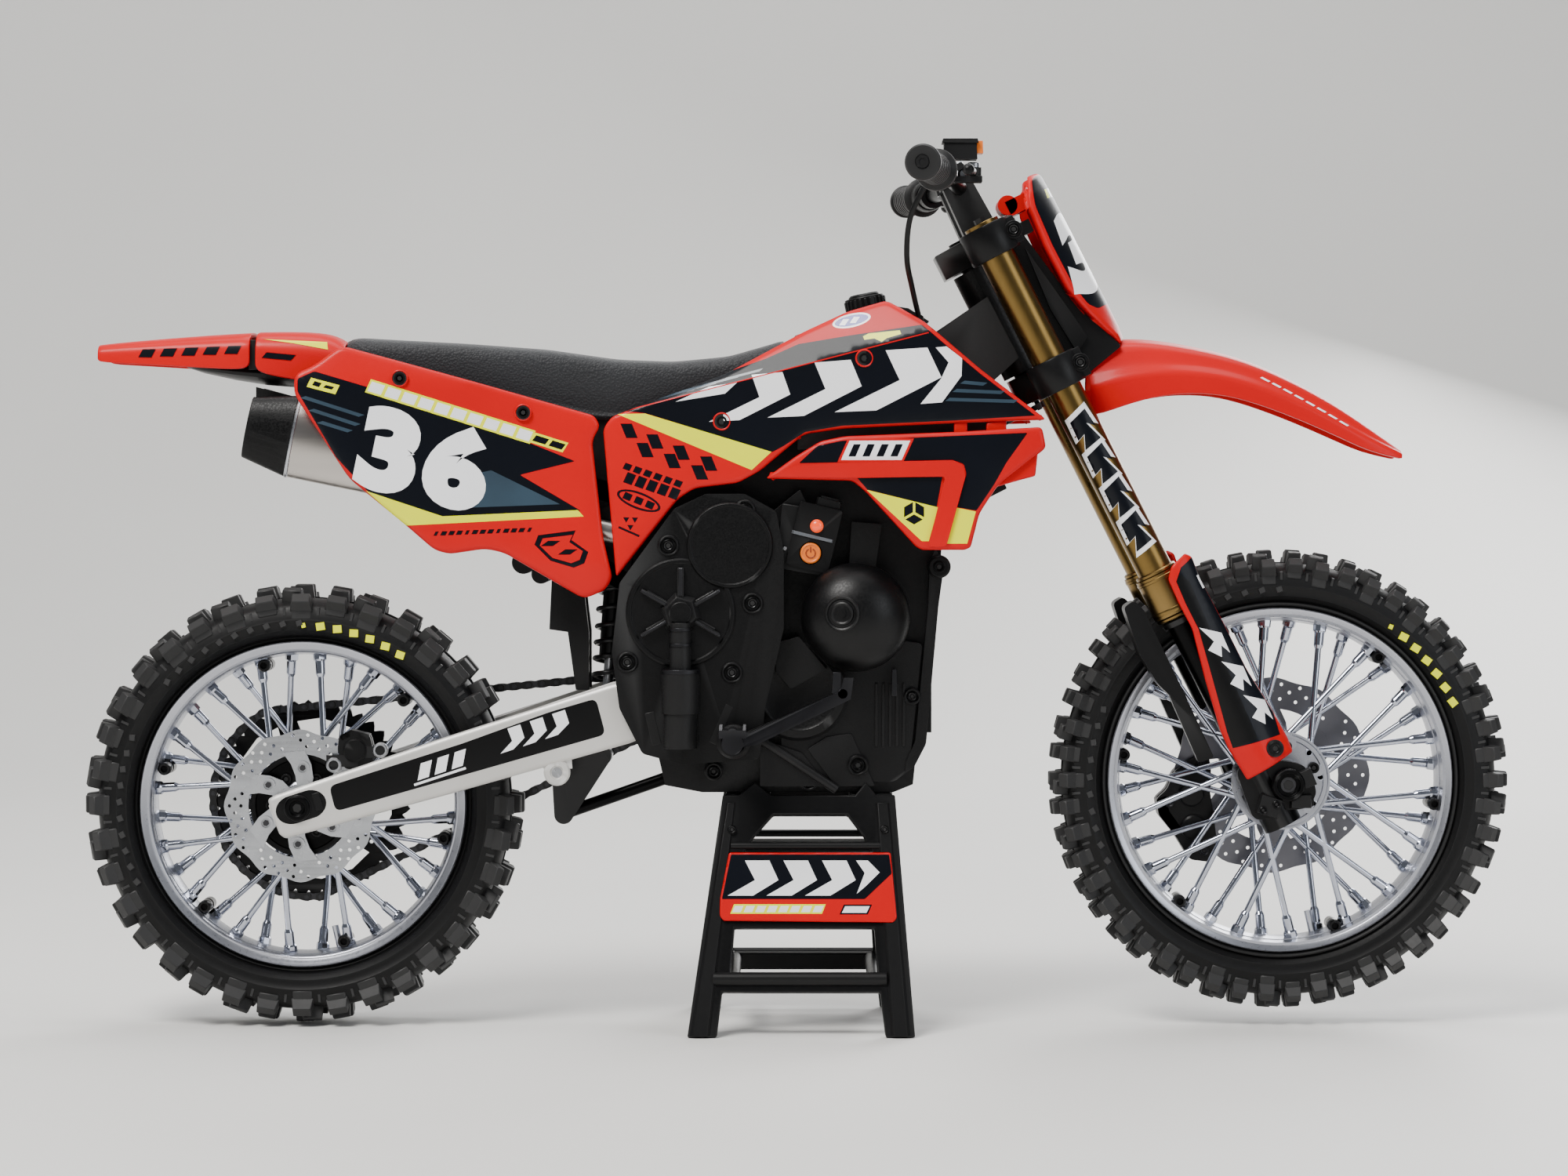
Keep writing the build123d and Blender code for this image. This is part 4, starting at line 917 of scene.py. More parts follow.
def build_disc(name, centre, radius, y_from, y_to, body, node, arms, metal):
    """A drilled wave disc on a carrier with swept arms and ring-shaped lugs."""
    bm = bmesh.new()
    outlines = [wavy_edge(radius, 12, 1.3), circle(radius * 0.68, steps=48)]
    for row, share in enumerate((0.93, 0.86, 0.78)):
        for step in range(30):
            if (step + row) % 5 == 4:
                continue
            angle = 2 * pi * (step + row * 0.5) / 30
            at = (radius * share * cos(angle), radius * share * sin(angle))
            outlines.append(circle(0.72, at, 8))
    cut_plate(bm, outlines, centre, y_from, y_to, 0)
    outward = 1 if y_to > 0 else -1
    for arm in range(arms):
        angle = 2 * pi * arm / arms + 0.3
        sweep = []
        for share, turn, wide in ((0.18, 0, 0.42), (0.4, 0.08, 0.3), (0.56, 0.2, 0.24),
                                  (0.73, 0.34, 0.2)):
            sweep.append((radius * share, angle + turn, wide))
        left = [(r * cos(a - w), r * sin(a - w)) for r, a, w in sweep]
        right = [(r * cos(a + w), r * sin(a + w)) for r, a, w in reversed(sweep)]
        cut_plate(bm, [left + right], centre, y_from + outward * 0.2, y_to + outward * 0.5, 1)
        lug = around(centre, angle + 0.16, radius * 0.5, y_to + outward * 0.3)
        lathe(bm, [(0, 0), (2.7, 0), (2.7, 1), (1.7, 1), (1.6, 0.3), (0, 0.3)], lug, ACROSS * outward,
              20, 0)
        rod(bm, lug, lug + ACROSS * outward * 0.8, 1.2, sides=6, material=2)
    ring = [circle(radius * 0.27, steps=32)]
    cut_plate(bm, ring, centre, y_from + outward * 0.2, y_to + outward * 0.9, 1)
    finish(name, bm, [metal, metal, dark_steel], body, replaces=(node,), smooth=30)


build_disc("rear_wave_disc", rear_centre, 29, -17.2, -18.2, "rear_wheel", "rear_disc", 6, steel)
# The front disc takes the darker steel, which is painted shade.
build_disc("front_wave_disc", front_centre, 38, 16.2, 17.2, "front_wheel", "front_disc", 6, disc_steel_painted_shade)


def build_hub_trim(name, centre, body, flange, y, bolts, bolt_circle, turn, face):
    """A machined flange with a raised edge, its boss and its socket bolts."""
    bm = bmesh.new()
    outward = Vector((0, 1 if y > 0 else -1, 0))
    seat = Vector((centre.x, y, centre.z))
    lathe(bm, [(7, -1.2), (flange, -1.2), (flange + 0.2, -0.2), (flange - 0.4, 0.5),
               (flange - 1.8, 0.5), (flange - 2.2, 0.1), (7, 0.1)], seat, outward, 80, face,
          closed=True)
    lathe(bm, [(5, -1), (9, -1), (9, 0.8), (8.2, 1.4), (5, 1.4)], seat, outward, 48, 0, closed=True)
    for step in range(bolts):
        angle = 2 * pi * step / bolts + radians(turn)
        at = around(centre, angle, bolt_circle, y)
        socket_screw(bm, at, outward, 2.1, 1.9, head=1, dark=2)
    finish(name, bm, [rim_metal, black_metal, recess_shade], body, smooth=35)


build_hub_trim("front_hub_trim", front_centre, "front_wheel", 17.9, -12.6, 6, 13.2, 22, 0)
build_hub_trim("rear_hub_trim", rear_centre, "rear_wheel", 19.4, -14, 6, 11.5, 0, 1)

# ==== chain and sprocket =======================================================
pivot = middle_of("countershaft")
chain_rear, chain_front = 38.2, 8.6
plate_rows = (16.65, 20.35)


def chain_path(pitch):
    """Evenly spaced points round the two sprockets, and the loop's true pitch."""
    run = rear_centre - pivot
    reach = hypot(run.x, run.z)
    away = atan2(run.z, run.x)
    spread = atan2(chain_rear - chain_front, reach)
    start, end = away + pi / 2 - spread, away - pi / 2 + spread
    points = []

    def arc(centre, radius, first, last):
        """Points round one sprocket."""
        count = 60
        for n in range(count + 1):
            angle = first + (last - first) * n / count
            points.append(Vector((centre.x + radius * cos(angle), 0, centre.z + radius * sin(angle))))

    arc(rear_centre, chain_rear, start, end)
    arc(pivot, chain_front, end, start - 2 * pi)
    points.append(points[0])
    lengths = [0]
    for a, b in zip(points, points[1:]):
        lengths.append(lengths[-1] + (b - a).length)
    links = round(lengths[-1] / pitch / 2) * 2
    out = []
    index = 0
    for n in range(links):
        target = lengths[-1] * n / links
        while lengths[index + 1] < target:
            index += 1
        share = (target - lengths[index]) / max(1e-9, lengths[index + 1] - lengths[index])
        out.append(points[index].lerp(points[index + 1], share))
    return out


def build_chain():
    """Rollers and waisted side plates, inner and outer by turns."""
    bm = bmesh.new()
    pins = chain_path(5.4)
    for index, pin in enumerate(pins):
        following = pins[(index + 1) % len(pins)]
        run = following - pin
        half, turn = run.length / 2, atan2(run.z, run.x)
        middle = (pin + following) / 2
        outline = []
        for angle in round_angles(20):
            waist = 1.85 - 0.65 * max(0, 1 - abs(cos(angle)) * 2.2)
            x = (half + 0.1) * max(-1, min(1, cos(angle) * 1.6)) + 1.75 * cos(angle)
            z = waist * sin(angle)
            outline.append((x * cos(turn) - z * sin(turn), x * sin(turn) + z * cos(turn)))
        step_out = 0.35 if index % 2 else -0.35
        for row in plate_rows:
            away = step_out if row > 18.5 else -step_out
            cut_plate(bm, [outline], middle, row + away - 0.3, row + away + 0.3, index % 2)
        lathe(bm, [(0, plate_rows[0] - 0.9), (0.95, plate_rows[0] - 0.9), (0.95, plate_rows[0]),
                   (1.5, plate_rows[0] + 0.3), (1.5, plate_rows[1] - 0.3), (0.95, plate_rows[1]),
                   (0.95, plate_rows[1] + 0.9), (0, plate_rows[1] + 0.9)], Vector((pin.x, 0, pin.z)),
              ACROSS, 10, 0)
    finish("chain_links", bm, [dark_steel, black_metal], "swingarm_body",
           replaces=("chain",), smooth=35)


build_chain()


def build_sprocket():
    """The rear sprocket: teeth, windows between spokes, and its bolts."""
    bm = bmesh.new()
    teeth = 44
    edge = []
    for step, angle in enumerate(round_angles(teeth * 4)):
        reach = (37.2, 38.4, 37.2, 35.6)[step % 4]
        edge.append((reach * cos(angle), reach * sin(angle)))
    outlines = [edge]
    for window in range(5):
        middle = 2 * pi * window / 5
        hole = []
        for r, wide in ((17.5, 0.36), (24, 0.45), (30.5, 0.5)):
            hole.append((r * cos(middle - wide), r * sin(middle - wide)))
        for r, wide in ((31.5, 0.2), (31.5, -0.2)):
            hole.append((r * cos(middle - wide), r * sin(middle - wide)))
        for r, wide in ((30.5, 0.5), (24, 0.45), (17.5, 0.36)):
            hole.append((r * cos(middle + wide), r * sin(middle + wide)))
        outlines.append(hole)
        outlines.append(circle(0.8, (28.5 * cos(middle + pi / 5), 28.5 * sin(middle + pi / 5)), 10))
    outlines.append(circle(6.9, steps=24))
    cut_plate(bm, outlines, rear_centre, 17.5, 19.5, 0)
    for bolt in range(5):
        at = around(rear_centre, 2 * pi * (bolt + 0.5) / 5, 15, 19.4)
        socket_screw(bm, at, ACROSS, 2.2, 1.2, head=1, dark=1)
    finish("rear_sprocket_cut", bm, [black_metal, steel], "rear_wheel",
           replaces=("rear_sprocket",), smooth=30, bevel=0.15, segments=1)


build_sprocket()

# ==== shrouds ==================================================================
def crease_inset(x, z):
    """How far the shroud turns in above its crease line."""
    line = 232.6 + (x + 67.5) * 0.262
    return 0.5 * max(0, z - line)


def shroud_offset(x, z):
    """How far out the shroud is: it widens to the front and leans in at the top."""
    return 28.2 + 14 / 167 * (x + 70) - crease_inset(x, z)


def wing_offset(x, _z):
    """How far out the wing is: it bends in at its front end."""
    front = max(0, (x - 70) / 28)
    return 31.9 + 14 / 167 * (x + 70) - 3 * front * front


PRINTS = [red, navy, yellow, white, slate, blue]
RED, NAVY, YELLOW, WHITE, SLATE, BLUE = range(6)


def leaning_box(x, z, wide, high, lean, fall=0.0):
    """A four-sided mark about a point, its sides leaning and its ends falling."""
    a, b = wide / 2, high / 2
    return [(x - a - lean, z - b + fall), (x + a - lean, z - b - fall), (x + a + lean, z + b - fall),
            (x - a + lean, z + b + fall)]


def shroud_prints():
    """Dark field, yellow sash, white chevrons, crease line, squares and small badges."""
    out = []
    mark(out, rounded([(-65, 233.6), (-35.8, 244.9), (-12, 253), (0.5, 258.6), (18.8, 261.6),
                       (46.5, 265.6), (56.5, 257), (68.2, 247.2), (88.6, 231.6), (58.8, 229.8),
                       (16.8, 227.9), (3.1, 225.6), (-5.3, 220.2), (-9.5, 218), (-57, 232.7)], 0.6),
         NAVY)
    mark(out, [(-67.5, 232.4), (-57, 232.6), (-9.6, 218.2), (-17, 211.4)], YELLOW)
    for low_x, low_z, high_x, high_z, wide in ((-33, 229.5, -17, 247, 11.5),
                                               (-11, 231, 6.5, 251.5, 13.5), (14, 233, 33, 256, 15.5)):
        mid_x, mid_z = (low_x + high_x) / 2 + wide * 0.95, (low_z + high_z) / 2 + 1.4
        mark(out, [(low_x, low_z), (low_x + wide, low_z + 0.6), (mid_x + wide, mid_z),
                   (high_x + wide, high_z + 1), (high_x, high_z), (mid_x, mid_z - 1)], WHITE)
    mark(out, [(-45.5, 237), (-27, 240), (-22.4, 244.2), (-33, 242.6)], WHITE)
    mark(out, [(46, 236), (54, 236.6), (61.2, 246.4), (61.4, 252.9), (55.6, 257.4), (51.6, 257),
               (56.4, 251.4), (53.6, 245.4)], WHITE)
    for x_from, x_to, z in ((61.5, 70, 243.8), (58.6, 76.6, 240.7), (56, 81.4, 237.4)):
        mark(out, stripe((x_from, z + 0.3), (x_to, z - 0.5), 1.25, 0.8), SLATE)
    for row in range(4):
        x, z = -52 + 8.2 * row, 238.4 + 2.3 * row
        mark(out, stripe((x, z), (x + 14, z + 3.6), 0.8, 0.8), SLATE)
    mark(out, stripe((-65.5, 233.4), (49, 262.6), 0.45), RED)
    mark(out, [(24.6, 261.3), (26.7, 262.4), (38.3, 263.5), (38.8, 262.1), (33.5, 260.6),
               (31.5, 259.2), (28.8, 260.5), (25.1, 260)], YELLOW)
    mark(out, ellipse((20.4, 267.4), 14.6, 5.2, turn=0.22), WHITE)
    mark(out, ellipse((20.4, 267.4), 12.9, 3.9, turn=0.22), BLUE)
    for shift in (-3, 1):
        mark(out, leaning_box(20.6 + shift, 267.4 + shift * 0.22, 2.2, 2.4, 0.8), WHITE)
    for x, z in ((-63, 226.1), (-57, 218.9), (-53.3, 222.1), (-46.8, 214.8), (-43.4, 217.9),
                 (-36.5, 210.5), (-33.1, 213.8)):
        mark(out, leaning_box(x, z, 4.3, 5.4, -1.1), NAVY)
    for bar in range(6):
        mark(out, leaning_box(-63.6 + bar * 3.8, 212.6 - bar * 1.25, 2.6, 2.2, 0.6, 0.5), NAVY)
    for bar in range(5):
        mark(out, leaning_box(-62.8 + bar * 4.2, 208.2 - bar * 1.4, 3.2, 3.8, 0.9, 0.6), NAVY)
    mark(out, ellipse((-59.4, 199.9), 17.4, 6.4, turn=-0.36), NAVY)
    mark(out, ellipse((-59.4, 199.9), 15.4, 4.8, turn=-0.36), RED)
    for bar in range(3):
        mark(out, leaning_box(-63.6 + bar * 4.2, 201.5 - bar * 1.6, 2.8, 2.4, 0.6, 0.6), NAVY)
    for turn in range(3):
        angle = 2 * pi * turn / 3 + 0.5
        at = (-62.5 + 1.9 * cos(angle), 192 + 1.9 * sin(angle))
        mark(out, ellipse(at, 2.7, 2.7, 3, angle), NAVY)
    mark(out, stripe((-67, 190), (-59.2, 186.6), 0.8), NAVY)
    return out


def wing_prints():
    """The dark and yellow fields on each side of the rib, a badge and a cube mark."""
    out = []
    mark(out, rounded([(0.6, 213.9), (7.6, 220.4), (16.8, 222.3), (85.6, 225.2), (77.7, 214.1),
                       (73, 205.7), (66.6, 196.2), (59, 197.6), (62.9, 209.9), (61.9, 213.5),
                       (57.7, 215.1)], 0.8), NAVY)
    mark(out, [(22.4, 208.4), (54, 209), (51.9, 197.6), (26.2, 204)], NAVY)
    mark(out, [(25.9, 204), (52.4, 197.5), (49, 184.9), (46.4, 184.9)], YELLOW)
    mark(out, [(59, 197.4), (66.4, 196), (63.2, 184), (55, 184)], YELLOW)
    mark(out, leaning_box(29.2, 218.7, 24.5, 8.8, 2), RED)
    mark(out, leaning_box(29.2, 218.7, 22.5, 7.2, 1.6), WHITE)
    for bar in range(4):
        mark(out, leaning_box(21.4 + bar * 5.2, 218.7, 2.7, 4.6, 1), NAVY)
    mark(out, ellipse((43.5, 195.4), 8.6, 8.6, 6, pi / 6), NAVY)
    for turn in range(3):
        angle = 2 * pi * turn / 3 + pi / 2
        end = (43.5 + 4.2 * cos(angle), 195.4 + 4.2 * sin(angle))
        mark(out, stripe((43.5, 195.4), end, 0.9), YELLOW)
    return out


def build_shroud(side):
    """One shroud: upper cover, wing, raised rib, tabs between them and screws."""
    upper = rounded([(33.7, 275), (18.8, 270.8), (2.8, 263.4), (-26.1, 247.8), (-69.7, 231.4),
                     (-72.9, 226.8), (-68, 170.9), (-44.6, 200.6), (-38.4, 204.6), (-22.1, 206.6),
                     (-13.7, 211.2), (-5.3, 218.2), (2.6, 224.8), (16.8, 226.8), (58, 228.8),
                     (93, 230), (68.2, 249), (47.2, 267)], 2.2)
    panel("shroud_" + LABEL[side], upper, shroud_offset, side, "chassis", PRINTS, "red_plastic",
          shroud_prints(), drop=0.9, fillet=1.6, replaces=("shrouds",) if side < 0 else (),
          cuts=[((-69.5, 232.1), (52, 263.9))])
    wing_edge = rounded([(-12, 208.2), (-0.4, 216.6), (8.8, 222.2), (17.8, 224), (60, 225.6),
                         (91, 227.4), (92.6, 219.6), (74.4, 205.4), (67.8, 195.2), (64.6, 182.6),
                         (62.4, 181.6), (46.4, 181.6), (44.2, 182.8), (25.4, 203.4), (20.6, 207.4)],
                        1.8)
    wing = panel("shroud_wing_" + LABEL[side], wing_edge, wing_offset, side, "chassis", PRINTS,
                 "red_plastic", wing_prints(), thick=2.6, drop=1.1, fillet=1.7)
    wing_skin = surface_of(wing)

    bridge = bmesh.new()
    for x_from, x_to in ((-8, 1.5), (58.5, 63.5), (70.5, 78)):
        low = [(x_from, 222), (x_to, 223), (x_to, 230), (x_from, 229)]
        y = side * (shroud_offset(x_from, 225) - 1.2)
        plate(bridge, low, y, y - side * 2.4, 0)
    # A sheet of painted shade behind the tabs, filling the gap between cover and wing.
    back = [(0, 219), (76, 221), (76, 232), (0, 231)]
    y = side * (shroud_offset(0, 225) - 4.6)
    plate(bridge, back, y, y - side * 1.2, 1)
    flank = [(72.5, 204.6), (82.9, 207.6), (88.6, 209.1), (89.6, 218.4), (86.4, 222.6), (78, 215)]
    y = side * (wing_offset(80, 215) - 2.2)
    plate(bridge, flank, y, y - side * 2.6, 0)
    finish("shroud_bridge_" + LABEL[side], bridge, [red, recess_shade], "chassis", bevel=0.6)

    rib = bmesh.new()
    graphic(rib, rounded([(-9.4, 208.9), (-1.2, 212.9), (13, 213.9), (58.2, 215), (61.6, 213),
                          (62.6, 209.4), (55.4, 182.9), (48.8, 182.9), (55, 208.9), (21.2, 208.5)],
                         1.4), wing_skin, side, 0, 1.25, 2.5)
    finish("shroud_rib_" + LABEL[side], rib, [red], "chassis", bevel=0.6, segments=3,
           smooth=50)

    panel_screws("shroud_screws_" + LABEL[side], ((25.1, 253.1), (-28.2, 229.6)), shroud_offset, side,
                 0.3, [(2.7, -0.6), (3.4, -0.6), (3.4, 0.45), (3.1, 0.7), (2.8, 0.5)], (2.8, 0.35),
                 0.55)


for side in SIDES:
    build_shroud(side)


# ==== side plates ==============================================================
def side_plate_offset(x, z):
    """How far out the side plate is: it widens to the rear and turns in at both edges."""
    return 29.2 + 9 / 117 * (-70 - x) - 0.16 * max(0, z - 244) - 0.10 * max(0, 176 - z)


def side_plate_prints(side):
    """Dark field, slate and yellow sashes, number, bar label and small marks."""
    out = []
    mark(out, rounded([(-186.2, 245.4), (-180, 248.2), (-160.2, 242.3), (-101.1, 221.9),
                       (-83.2, 214.7), (-103.8, 209.6), (-81, 196.1), (-132.6, 193.9), (-160.2, 203.3),
                       (-172, 216.1), (-186.2, 240.6)], 0.8), NAVY)
    mark(out, [(-119.6, 210.2), (-114.5, 211.3), (-88.8, 198.6), (-124.2, 197.3)], SLATE)
    mark(out, [(-161, 203.6), (-132.6, 194.1), (-82.2, 196.4), (-80, 194), (-146.6, 190.6)], YELLOW)
    for start, end in (((-184.2, 238.6), (-162.5, 231.6)), ((-181.2, 233.9), (-163.9, 228.2)),
                       ((-178, 229.3), (-166.8, 225.8))):
        mark(out, stripe(start, end, 1.3, 0.9), SLATE)
    mark(out, leaning_box(-176.7, 242.7, 10.6, 3.4, 0.8, 1.4), YELLOW)
    mark(out, leaning_box(-179, 243.4, 2.6, 1.5, 0.5, 0.4), NAVY)
    mark(out, leaning_box(-174.6, 242.2, 3.2, 1, 0.5, 0.4), NAVY)
    count, wide, fall = 10, 6.1, 0.315
    for bar in range(count + 2):
        x = -157 + wide * bar
        z = 241.9 - wide * fall * bar
        last = bar >= count
        mark(out, leaning_box(x, z, wide + 0.2, 4.9 if not last else 3.6, 1.1, wide * fall / 2), YELLOW)
        mark(out, leaning_box(x, z, wide - 1.2, 3.5 if not last else 2, 0.8, wide * fall / 2 - 0.2),
             NAVY if last else WHITE)
    for dash in range(13):
        mark(out, leaning_box(-135 + dash * 2.9, 187.6 + dash * 0.12, 2 if dash % 4 else 1.2, 1.6,
                              0.4), NAVY)
    shield = [(-98.4, 183.5), (-97, 187), (-83, 188.8), (-84.6, 185.2), (-78.3, 180.7), (-79.8, 176.4),
              (-83.8, 174.8), (-92.4, 177.4)]
    core = [(-88.6 + (x + 88.6) * 0.8, 181.9 + (z - 181.9) * 0.76) for x, z in shield]
    mark(out, shield, NAVY)
    mark(out, core, RED)
    for shift in (-3.4, 3):
        mark(out, leaning_box(-89 + shift, 182.2 - shift * 0.5, 4.6, 2, 1.4), NAVY)
    out += numerals("36", (-140.8, 215.8), 33, side, WHITE, lean=0.18, bold=0.06, wide=1.12,
                    rise=-0.24, gap=0.68)
    return out


def build_side_plate(side):
    """One side number panel with its graphics, number and screws."""
    outline = rounded([(-187.6, 247), (-180, 250.5), (-170.4, 257.9), (-150.6, 252.6), (-122.7, 245),
                       (-76, 231.8), (-73.9, 228), (-76.9, 222.4), (-72.8, 186), (-69.3, 170.8),
                       (-72, 166.4), (-80, 162.9), (-109.8, 180.4), (-116.8, 181.9), (-130.2, 179.9),
                       (-135.8, 181.5), (-146, 190.4), (-167.3, 208.1), (-187.6, 239.6)], 3.2)
    panel("side_plate_" + LABEL[side], outline, side_plate_offset, side, "chassis", PRINTS,
          "red_plastic", side_plate_prints(side), thick=2.6, drop=1.2, fillet=1.9,
          replaces=("side_plates",) if side < 0 else ())
    panel_screws("side_plate_screws_" + LABEL[side], ((-148.4, 245.6), (-102.5, 232.9)),
                 side_plate_offset, side, 0.1, [(2.6, -0.6), (3.2, -0.6), (3.2, 0.9), (2.9, 1.1),
                                                (2.7, 0.9)], (2.7, 0.7), 0.95)


for side in SIDES:
    build_side_plate(side)


# ==== fenders ==================================================================
def fender(name, stations, body, replaces, thick, section):
    """A shell of cross sections: each station is x, top z, edge z and half width."""
    bm = bmesh.new()
    rings = []
    for x, top, edge, half in stations:
        ring = []
        for share, drop, shift in section:
            ring.append(Vector((x + shift, -half * share, top + (edge - top) * drop)))
        for share, drop, shift in reversed(section[:-1]):
            ring.append(Vector((x + shift, half * share, top + (edge - top) * drop)))
        rings.append(ring)
    stitch(bm, rings, 0, wrap=False, caps=False)
    for face in bm.faces:
        if face.normal.z < 0:
            face.normal_flip()
    piece = as_piece(name, bm, [red])
    mesh = piece.data
    creases = mesh.attributes.new("crease_edge", "FLOAT", "EDGE")
    width = 2 * len(section) - 1
    strong = {index for index, row in enumerate(section) if row[0] in (0.66, 0.98)}
    strong |= {width - 1 - index for index in strong}
    for edge in mesh.edges:
        a, b = edge.vertices
        if abs(a - b) == width and a % width in strong:
            creases.data[edge.index].value = 0.75
    smoothing = piece.modifiers.new("smoothing", "SUBSURF")
    smoothing.levels = smoothing.render_levels = 2
    shell = piece.modifiers.new("shell", "SOLIDIFY")
    shell.thickness = thick * MM
    shell.offset = -1
    rim = piece.modifiers.new("rim", "BEVEL")
    rim.width = 0.4 * MM
    rim.segments = 2
    rim.limit_method = "ANGLE"
    rim.angle_limit = radians(60)
    return register(piece, body, (replaces,))


front_section = [(1, 1, 0), (0.995, 0.8, 0), (0.98, 0.58, 0), (0.86, 0.46, 0), (0.8, 0.4, 0),
                 (0.66, 0.12, 0), (0.4, 0.03, 0), (0, 0, 0),]
front_stations = [(111.5, 257.5, 231.5, 13), (119.9, 260, 234.4, 14.2), (131, 260.2, 238.2, 14.6),
                  (143.7, 258.6, 240.6, 14.8), (160, 255.2, 240.4, 14.8), (173.4, 251.1, 236.8, 14.7),
                  (188, 244.4, 231.4, 14.4), (203.1, 236.2, 224.9, 13.6), (216, 227.2, 218.8, 12.4),
                  (225, 220.6, 216.6, 10.6), (229.2, 217.6, 215.6, 8.6),]
front_fender = fender("front_fender_shell", front_stations, "steering", "front_fender", 1.7,
                      front_section)

rear_section = [(1, 1, 0), (1, 0.7, 0), (0.98, 0.35, 0), (0.9, 0.14, 0), (0.66, 0.05, 0), (0.3, 0, 0),
                (0, 0, 0),]
rear_stations = [(-264.6, 257.4, 252.4, 12.6), (-258, 258.2, 252, 13.4), (-240, 259.8, 251, 15),
                 (-220, 261.3, 249.8, 16.6), (-206.6, 262, 249.2, 17.8),]
rear_tail = fender("rear_fender_tail", rear_stations, "chassis", "rear_fender", 1.8, rear_section)
root_stations = [(-204.4, 262.2, 248.6, 17.8), (-196, 262.4, 246.6, 18), (-184, 262.3, 244.6, 18),
                 (-176, 261.2, 244, 18), (-171.5, 258, 247, 18),]
rear_root = fender("rear_fender_root", root_stations, "chassis", "rear_fender", 1.8, rear_section)


def build_fender_trim():
    """Seam joiner, under-tray and graphics of the rear fender, and the front one's dashes."""
    bm = bmesh.new()
    block(bm, Vector((-205.5, 0, 255)), UPRIGHT, (3.4, 33, 11.2), 1)
    tray = []
    for x, low, high, half in ((-232, 250.4, 251.6, 9), (-226, 248.4, 252, 11.5),
                               (-214, 245.8, 252, 13.5), (-202, 243.9, 252, 14.5),
                               (-190, 243, 252, 14.5), (-180, 244, 252, 14)):
        ring = []
        for angle in round_angles(16):
            a, b = cos(angle), sin(angle)
            ring.append(Vector((x, half * abs(a) ** 0.6 * (1 if a > 0 else -1),
                                (low + high) / 2 + (high - low) / 2 * b)))
        tray.append(ring)
    stitch(bm, tray, 0)
    for side in SIDES:
        socket_screw(bm, Vector((-186, side * 8, 246)), -UPWARD, 2, 2.2, 0, 1)
        hook = [(-174.5, 251.5), (-171.5, 256.5), (-168.6, 252.5), (-167.5, 249), (-171.5, 246.5)]
        plate(bm, hook, side * 17.4, side * 21, 0)
    finish("rear_fender_tray", bm, [black, steel], "chassis", bevel=0.4)

    skin = surface_of(rear_root, rear_tail)
    art = bmesh.new()
    for side in SIDES:
        graphic(art, [(-201.5, 260.9), (-177.5, 259.8), (-177, 256.9), (-190, 259.3)], skin, side, 1,
                0.18, 2.5)
        for bar in range(5):
            x = -249 + bar * 8.2
            z = 255.6 + bar * 0.3
            graphic(art, [(x, z - 1.5), (x + 5, z - 1.6), (x + 6.6, z + 1.6), (x + 1.6, z + 1.5)],
                    skin, side, 0, 0.18, 2.5)
        graphic(art, stripe((-201, 254.8), (-190, 253.8), 2.2, 0.8), skin, side, 0, 0.18)
    finish("rear_fender_art", art, [navy, yellow], "chassis", smooth=60)
    front_skin = surface_of(front_fender)
    line = bmesh.new()
    for side in SIDES:
        for dash in range(8):
            share = dash / 8
            x = 176 + 34 * share
            z = 246.6 - 17.2 * share - 2 * share * share
            graphic(line, stripe((x, z), (x + 3.1, z - 1.62 - 0.2 * share), 0.7, 0.3), front_skin,
                    side, 0, 0.16, 2)
    finish("front_fender_art", line, [white], "steering", smooth=60)


build_fender_trim()

# ==== seat =====================================================================
def build_seat():
    """A crowned foam seat in a grained cover with a bead along each lower edge."""
    low, high = [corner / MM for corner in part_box("seat")]
    tops = [(low.x, 259.6), (-168, 262), (-155, 261.2), (-125, 259.6), (-95, 257.4), (-68, 253.6),
            (-47, 252.8), (-26, 254.8), (-10, 259.4), (high.x, 261.6)]
    bottoms = [(low.x, 250), (-110, 237.5), (-75, 230), (-60, 230.5), (high.x, 246)]

    def along(table, x):
        """The height a table of stations gives at x."""
        for (x0, z0), (x1, z1) in zip(table, table[1:]):
            if x <= x1:
                return z0 + (z1 - z0) * (x - x0) / (x1 - x0)
        return table[-1][1]

    bm = bmesh.new()
    rings = []
    count = 46
    for step in range(count + 1):
        x = low.x + 0.4 + (high.x - low.x - 0.8) * step / count
        end = min(step, count - step) / 2.5
        close = min(1, 0.72 + 0.28 * min(1, end))
        top, bottom = along(tops, x), along(bottoms, x)
        half = 15.4 * close
        shape = [(0, bottom), (0.7, bottom), (0.97, bottom + 0.5), (1.02, bottom + 1.8),
                 (0.95, bottom + 2.8), (0.985, bottom + 4.5)]
        waist = (top - bottom) * 0.55 + bottom
        shape += [(1, waist), (0.965, top - 3.4), (0.86, top - 1.3), (0.62, top - 0.35), (0.3, top),
                  (0, top + 0.1)]
        ring = [Vector((x, -half * share, z)) for share, z in shape]
        ring += [Vector((x, half * share, z)) for share, z in reversed(shape[1:-1])]
        rings.append(ring)
    stitch(bm, rings, 0)
    seat = finish("seat_cover_shell", bm, [seat_cover], "chassis", replaces=("seat",),
                  smooth=70, soften=1)


build_seat()

# ==== steering head and fork ===================================================
rake = radians(26.8)
up_fork = Vector((-sin(rake), 0, cos(rake)))
ahead_fork = Vector((cos(rake), 0, sin(rake)))
FORK_AXES = (ahead_fork, ACROSS, up_fork)
stem = Vector((89.4, 0, 243.4))
leg_ahead = 9.0
leg_y = 26.0


def fork_place(height, ahead, y=0.0):
    """A point given along and ahead of the steering axis."""
    return stem + up_fork * height + ahead_fork * ahead + ACROSS * y


